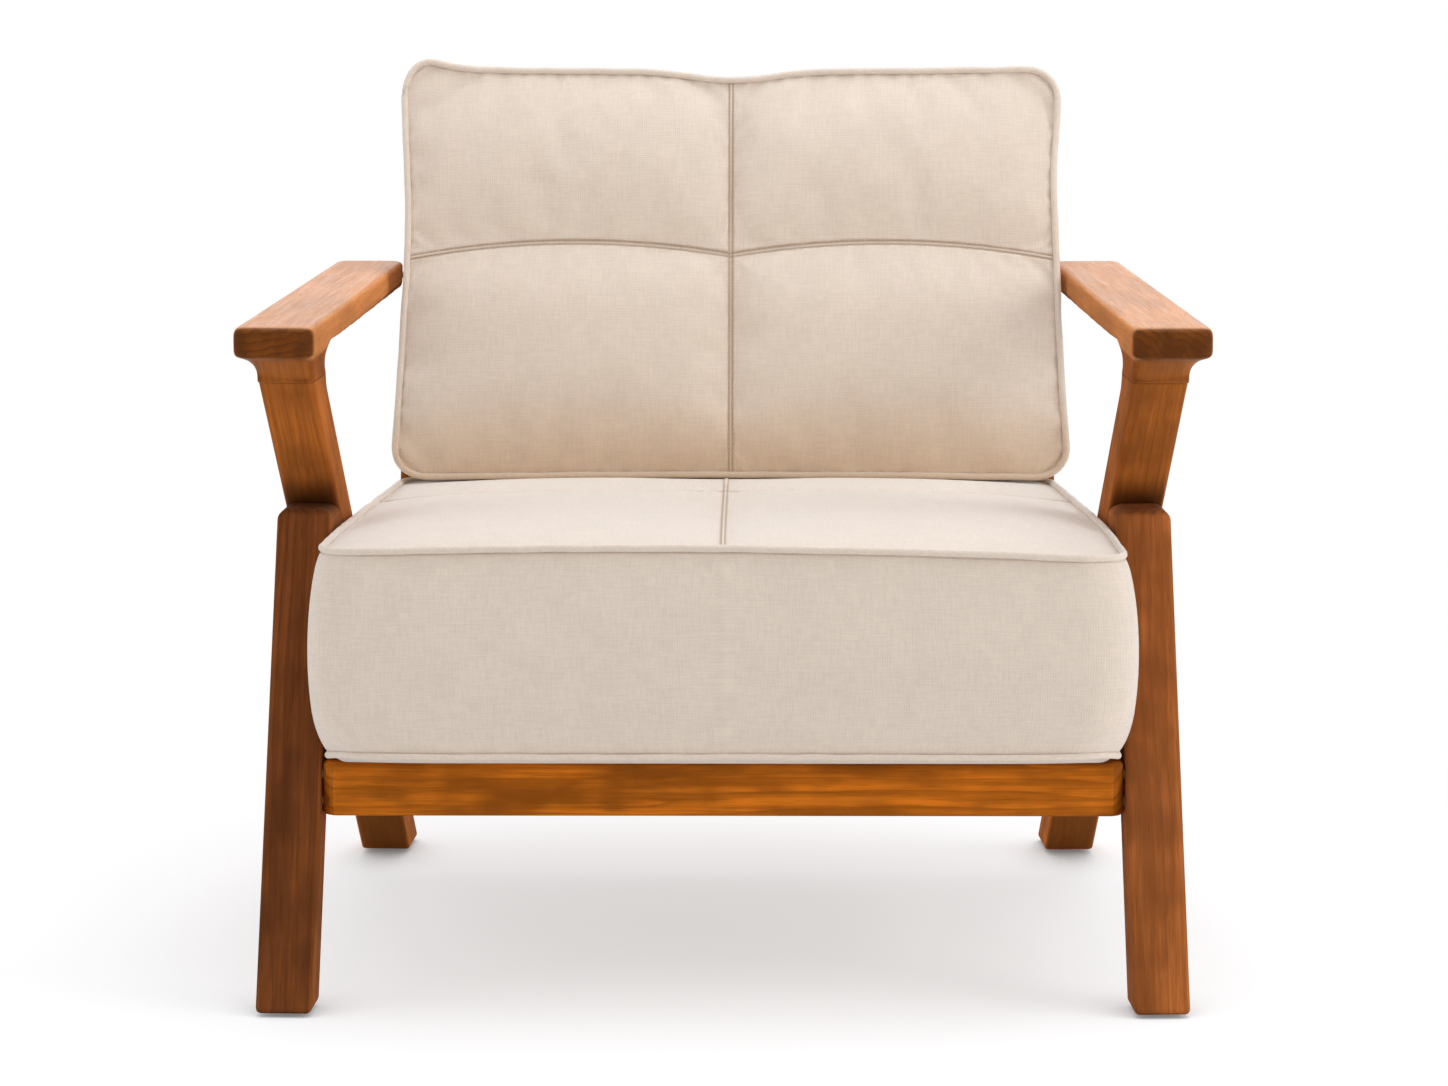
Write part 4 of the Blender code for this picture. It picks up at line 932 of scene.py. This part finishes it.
def welts(name, form, piece, finish, body):
    """The corded welts round the two edges of the boxing."""
    sewing = bpy.context.scene.armchair_cushion
    points = places(piece.data)
    facing = np.array(form.facing) / np.linalg.norm(form.facing)
    parts, faces, cloth, start = [], [], [], 0
    noise.seed_set(WELT_SEED)
    for ring, lean in ((form.rings[0], WELT_UP), (form.rings[-1], WELT_DOWN)):
        path = evenly(points[ring], WELT_STEP)
        outward = unit(np.cross(np.roll(path, -1, 0) - np.roll(path, 1, 0), facing))
        outward *= np.sign((outward * (path - path.mean(0))).sum())
        path += sewing.welt * (WELT_OUT * outward + lean * facing)
        for i, spot in enumerate(path):
            wave = noise.noise_vector(Vector(spot) * 38.0)
            path[i] = spot + np.array(wave) * WELT_WAVE
        made = tube(path, sewing.welt)
        parts.append(made[0])
        faces.append(made[1] + start)
        cloth.append(made[2])
        start += len(made[0])
    cord = mesh_piece(name, np.concatenate(parts), np.concatenate(faces), finish, np.concatenate(cloth))
    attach(cord, body)


def stitches(name, form, piece, finish, body):
    """Rows of single stitches beside the seam bands."""
    sewing = bpy.context.scene.armchair_cushion
    points, facing = places(piece.data), np.array(form.facing)
    off, half = sewing.band + DITCH, form.width_start / 2
    step = sewing.stitch + sewing.stitch_gap
    along = np.arange(STITCH_MARGIN, form.length - 0.004, step)
    across = np.arange(-half + STITCH_MARGIN, half - STITCH_MARGIN, step)
    rows = []
    for way in (-1, 1):
        rows.append([(way * off / form.half_width(y), y) for y in (along, along + sewing.stitch)])
        line = np.full_like(across, form.seam + way * off)
        rows.append([(x / half, line) for x in (across, across + sewing.stitch)])
    blocks = []
    for head, tail in rows:
        first, last = form.spot(points, *head), form.spot(points, *tail)
        ahead = unit(last - first)
        side = unit(np.cross(ahead, facing))
        rise = np.cross(side, ahead)
        rise *= np.sign(rise @ facing)[:, None]
        rings = []
        for part, scale, lift in STITCH_RINGS:
            centre = first + (last - first) * part + rise * THREAD * lift
            for turn in range(STITCH_SIDES):
                a = turn * 2 * math.pi / STITCH_SIDES
                rings.append(centre + THREAD * scale * (math.cos(a) * side + math.sin(a) * rise))
        blocks.append(np.stack(rings, 1))
    blocks = np.concatenate(blocks)
    each = blocks.shape[1]
    number = np.arange(each).reshape(-1, STITCH_SIDES)
    turned = np.roll(number, -1, 1)
    pattern = np.stack([number[:-1], turned[:-1], turned[1:], number[1:]], -1).reshape(-1, 4)
    faces = (pattern + (each * np.arange(len(blocks)))[:, None, None]).reshape(-1, 4)
    sewn = mesh_piece(name, blocks.reshape(-1, 3), faces, finish)
    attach(sewn, body)


def sew(name, form):
    """One cushion with its welts and stitching, in its place on its body."""
    look = bpy.context.scene.armchair_linen
    form.build()
    flat = form.points.copy()
    form.points = form.place(flat)
    below, above = form.place(np.array([[0.0, 0.1, 0.0], [0.0, 0.1, 1.0]]))
    form.facing = tuple(above - below)
    cover = linen(f"{name}_linen", tuple(look.cloth), form.foot)
    thread = plain(f"{name}_thread", tuple(look.thread), 0.8, 0.0, 3000.0)
    piece = mesh_piece(name, form.points, form.faces, cover, form.cloth)
    settle(form, piece, form.give(flat))
    seam_band(form, piece)
    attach(piece, name)
    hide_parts(f"{name}_cover", f"{name}_foam")
    welts(f"{name}_welts", form, piece, cover, name)
    stitches(f"{name}_stitching", form, piece, thread, name)


class SeatCushion(Cushion):
    """Lies on the tilted deck, its front swollen and its lower corners tucked in."""

    length, width_start, width_end, boxing = 0.58396, 0.62589, 0.56468, 0.168
    crown, bulge, corner = 0.011, 0.006, 0.040
    seam, seam_depth, pressed_from = 0.385, 0.002, 0.42
    spare, fold, fill = 0.3, 5.0, 0.85
    spot_on_deck = (0.0, -0.39933, 0.19365)
    tuck, tuck_reach, tuck_lift = 0.010, 0.045, 0.001
    swell, swell_reach = 0.0085, 0.06
    front_lift, front_reach, front_height = 0.0075, 0.04, 0.09
    sag, sag_lean, sag_reach, sag_height = 0.0055, 0.0025, 0.12, 0.175
    panel_give, boxing_give, front_give, seam_reach = 0.005, 0.0025, 0.003, 0.09

    def place(self, points):
        eased = points.copy()
        x, y, z = points.T
        to_corner = np.hypot(self.half_width(y) - np.abs(x), np.minimum(y, self.length - y))
        low = np.clip(1 - z / self.tuck_reach, 0, 1) ** 2 * bell(to_corner, self.tuck_reach)
        eased[:, 0] -= np.sign(x) * self.tuck * low
        eased[:, 1] += np.where(y < self.length / 2, self.tuck, -self.tuck) * low
        eased[:, 2] += self.tuck_lift * low
        level = np.clip((z - SOLE) / self.boxing, 0, 1)
        eased[:, 0] += np.sign(x) * self.swell * np.sin(math.pi * level) ** 0.35 * bell(y, self.swell_reach)
        under = np.clip(1 - z / self.front_height, 0, 1)
        eased[:, 2] += self.front_lift * under * bell(y, self.front_reach)
        across = x / 0.3
        sunk = (self.sag * across**2 + self.sag_lean * across) * bell(y, self.sag_reach)
        eased[:, 2] -= sunk * np.clip(z / self.sag_height, 0, 1) ** 2
        rest = Matrix.Translation(self.spot_on_deck) @ Matrix.Rotation(-SEAT_TILT, 4, "X")
        return eased @ np.array(rest.to_3x3()).T + np.array(rest.translation)

    def give(self, flat):
        panel = self.u.size
        free = np.full(len(flat), self.boxing_give)
        free[:panel] = self.panel_give * np.clip((0.53 - self.y.ravel()) / 0.08, 0.05, 1)
        free[panel:] += self.front_give * np.clip((0.06 - flat[:, 1]) / 0.03, 0, 1)[panel:]
        return self.hold_seams(free, self.seam_reach)


class BackCushion(Cushion):
    """Stands on the seat against the back, nipped at its sides and eared at its upper left."""

    length, width_start, width_end, boxing = 0.372, 0.59006, 0.58106, 0.116
    crown, bulge, corner, waist = 0.018, 0.003, 0.029, 0.007
    seam, seam_depth, fill = 0.2015, 0.012, 0.75
    dip, arch, droop = 0.008, 0.0118, 0.002
    lowest = np.array((0.0035, 0.13112, 0.35768))
    # The lowest height, from which the linen's painted shade rises.
    foot = lowest[2]
    tuck, tuck_reach = 0.013, 0.06
    left_nip, right_nip = (0.0022, 0.231, 0.065), (0.0025, 0.27, 0.05)
    ear, ear_at, ear_width = 0.0095, -0.283, 0.03
    panel_give, boxing_give, seam_reach = 0.011, 0.003, 0.05

    def place(self, points):
        x, y, z = points.T
        thickness = SOLE + self.boxing
        tucked = self.tuck * np.clip(1 - y / self.tuck_reach, 0, 1) ** 2 * np.clip(z / thickness, 0, 1) ** 2
        behind = thickness - z + tucked
        left, right = (depth * bell(y - at, width) for depth, at, width in (self.left_nip, self.right_nip))
        x = x - np.sign(x) * np.where(x < 0, left, right) * np.clip((np.abs(x) - 0.10) / 0.19, 0, 1)
        y = y + self.ear * bell(x - self.ear_at, self.ear_width) * np.clip((y - 0.30) / 0.07, 0, 1) ** 2
        raised = y + behind * math.tan(BACK_LEAN + SEAT_TILT) * (1 - y / self.length)
        across = np.stack([x, np.zeros(len(x)), np.zeros(len(x))], -1)
        back = np.array((0.0, math.cos(BACK_LEAN), -math.sin(BACK_LEAN)))
        return self.lowest + across + raised[:, None] * np.array(UP_THE_BACK) + behind[:, None] * back

    def give(self, flat):
        panel = self.u.size
        free = np.full(len(flat), self.boxing_give)
        free[:panel] = self.panel_give
        free[panel:] *= np.clip((flat[:, 1] - 0.006) / 0.02, 0.1, 1)[panel:]
        return self.hold_seams(free, self.seam_reach)


class ARMCHAIR_OT_seat_cushion(Operator):
    """Sew the seat cushion, fill it and lay it on the deck"""

    bl_idname = "armchair.seat_cushion"
    bl_label = "Seat cushion"

    def execute(self, context):
        sew("seat_cushion", SeatCushion())
        return {"FINISHED"}


class ARMCHAIR_OT_back_cushion(Operator):
    """Sew the back cushion, fill it and stand it on the seat"""

    bl_idname = "armchair.back_cushion"
    bl_label = "Back cushion"

    def execute(self, context):
        sew("back_cushion", BackCushion())
        return {"FINISHED"}


# Stage
def seen_by(tree, *rays):
    """One for the kinds of ray that are named, nought for the others."""
    path = tree.nodes.new("ShaderNodeLightPath")
    seen, *others = (path.outputs[f"Is {ray} Ray"] for ray in rays)
    for other in others:
        seen = sums(tree, "MAXIMUM", seen, other)
    return seen


class ARMCHAIR_OT_stage(Operator):
    """Set the pale floor, the soft lamps and the camera"""

    bl_idname = "armchair.stage"
    bl_label = "Stage"

    def execute(self, context):
        look = context.scene.armchair_stage
        self.floor(look)
        self.world(context.scene, look)
        self.lamp("lamp_above", (0.3, 0.45, 2.9), (0.0, 0.05, 0.3), 2.6, look.key, (0.985, 1.0, 1.05))
        self.lamp("lamp_left", (-2.5, -1.0, 1.1), (0.0, 0.0, 0.35), 1.6, look.fill * 0.55)
        self.lamp("lamp_right", (2.5, -1.1, 1.3), (0.0, 0.0, 0.35), 1.6, look.fill * 1.45)
        self.camera(context.scene, look)
        context.scene.view_settings.view_transform = "Standard"
        return {"FINISHED"}

    @staticmethod
    def floor(look):
        made, tree, shader = material("pale_floor")
        seen = seen_by(tree, "Camera", "Glossy")
        pale, dim = (0.88, 0.885, 0.89, 1.0), (0.46, 0.462, 0.466, 1.0)
        tint = mixed(tree, seen, pale, dim)
        fill(tree, shader, {"Base Color": tint, "Roughness": 1.0, "Specular IOR Level": 0.0})
        # Painted contact shadow: the floor's glow beyond its own light dims where ambient occlusion finds the
        # chair's feet close by.
        open_sky = add(tree, "ShaderNodeAmbientOcclusion", {"Distance": 0.07}, samples=8).outputs["AO"]
        lit_share = times(tree, seen, spread(tree, open_sky, 0.0, 0.9, 0.25, 1.0))
        lift = add(tree, "ShaderNodeEmission", {"Strength": times(tree, lit_share, look.floor_lift)})
        lit = add(tree, "ShaderNodeAddShader", {0: shader.outputs[0], 1: lift.outputs[0]})
        from_chair = vectors(tree, "LENGTH", {0: coords(tree, "Object")}, "Value")
        away = times(tree, spread(tree, from_chair, 0.45, 0.95), seen)
        white = add(tree, "ShaderNodeEmission", {"Strength": 1.0})
        both = add(tree, "ShaderNodeMixShader", {0: away, 1: lit.outputs[0], 2: white.outputs[0]})
        tree.links.new(both.outputs[0], tree.nodes["Material Output"].inputs["Surface"])
        reach = 6.0
        points = [(-reach, -reach, 0.0), (reach, -reach, 0.0), (reach, reach, 0.0), (-reach, reach, 0.0)]
        mesh_piece("floor", points, [(0, 1, 2, 3)], made)

    @staticmethod
    def world(scene, look):
        world = bpy.data.worlds.new("pale_room")
        world.use_nodes = True
        tree = world.node_tree
        seen = seen_by(tree, "Camera", "Glossy", "Transmission")
        strength = spread(tree, seen, 0.0, 1.0, look.ambient, 1.0)
        fill(tree, tree.nodes["Background"], {"Color": (1.0, 1.0, 1.0, 1.0), "Strength": strength})
        scene.world = world

    @staticmethod
    def lamp(name, spot, target, size, watts, tint=(1.0, 1.0, 1.0)):
        light = bpy.data.lights.new(name, "AREA")
        light.shape = "SQUARE"
        light.size = size
        light.energy = watts
        light.color = tint
        lamp = bpy.data.objects.new(name, light)
        lamp.location = spot
        lamp.rotation_euler = (Vector(target) - Vector(spot)).to_track_quat("-Z", "Y").to_euler()
        bpy.context.scene.collection.objects.link(lamp)

    @staticmethod
    def camera(scene, look):
        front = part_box("left_front_leg")[0].y
        lens = bpy.data.cameras.new("camera")
        lens.sensor_width = 36.0
        lens.lens = look.lens
        lens.clip_end = 50.0
        camera = bpy.data.objects.new("camera", lens)
        camera.location = (look.offset, front - look.distance, look.height)
        camera.rotation_euler = (math.pi / 2 - look.pitch, 0.0, look.yaw)
        scene.collection.objects.link(camera)
        scene.camera = camera


STEPS = (
    ARMCHAIR_OT_timber,
    ARMCHAIR_OT_armrests,
    ARMCHAIR_OT_fixings,
    ARMCHAIR_OT_seat_cushion,
    ARMCHAIR_OT_back_cushion,
    ARMCHAIR_OT_stage,
)


class ARMCHAIR_PT_looks(Panel):
    """The chair's pieces and the sizes and colours of their looks"""

    bl_idname = "ARMCHAIR_PT_looks"
    bl_label = "Armchair"
    bl_space_type = "VIEW_3D"
    bl_region_type = "UI"
    bl_category = "Armchair"

    def draw(self, context):
        for step in STEPS:
            self.layout.operator(step.bl_idname, text=step.bl_label)
        for name, group in GROUPS.items():
            box = self.layout.box()
            box.label(text=group.__doc__)
            for key in group.__annotations__:
                box.prop(getattr(context.scene, name), key)


CLASSES = (*GROUPS.values(), *STEPS, ARMCHAIR_PT_looks)


def register():
    for cls in CLASSES:
        bpy.utils.register_class(cls)
    for name, group in GROUPS.items():
        setattr(bpy.types.Scene, name, PointerProperty(type=group))


def unregister():
    for name in GROUPS:
        delattr(bpy.types.Scene, name)
    for cls in reversed(CLASSES):
        bpy.utils.unregister_class(cls)


def main():
    register()
    for step in STEPS:
        group, call = step.bl_idname.split(".")
        getattr(getattr(bpy.ops, group), call)()


if __name__ == "__main__":
    main()
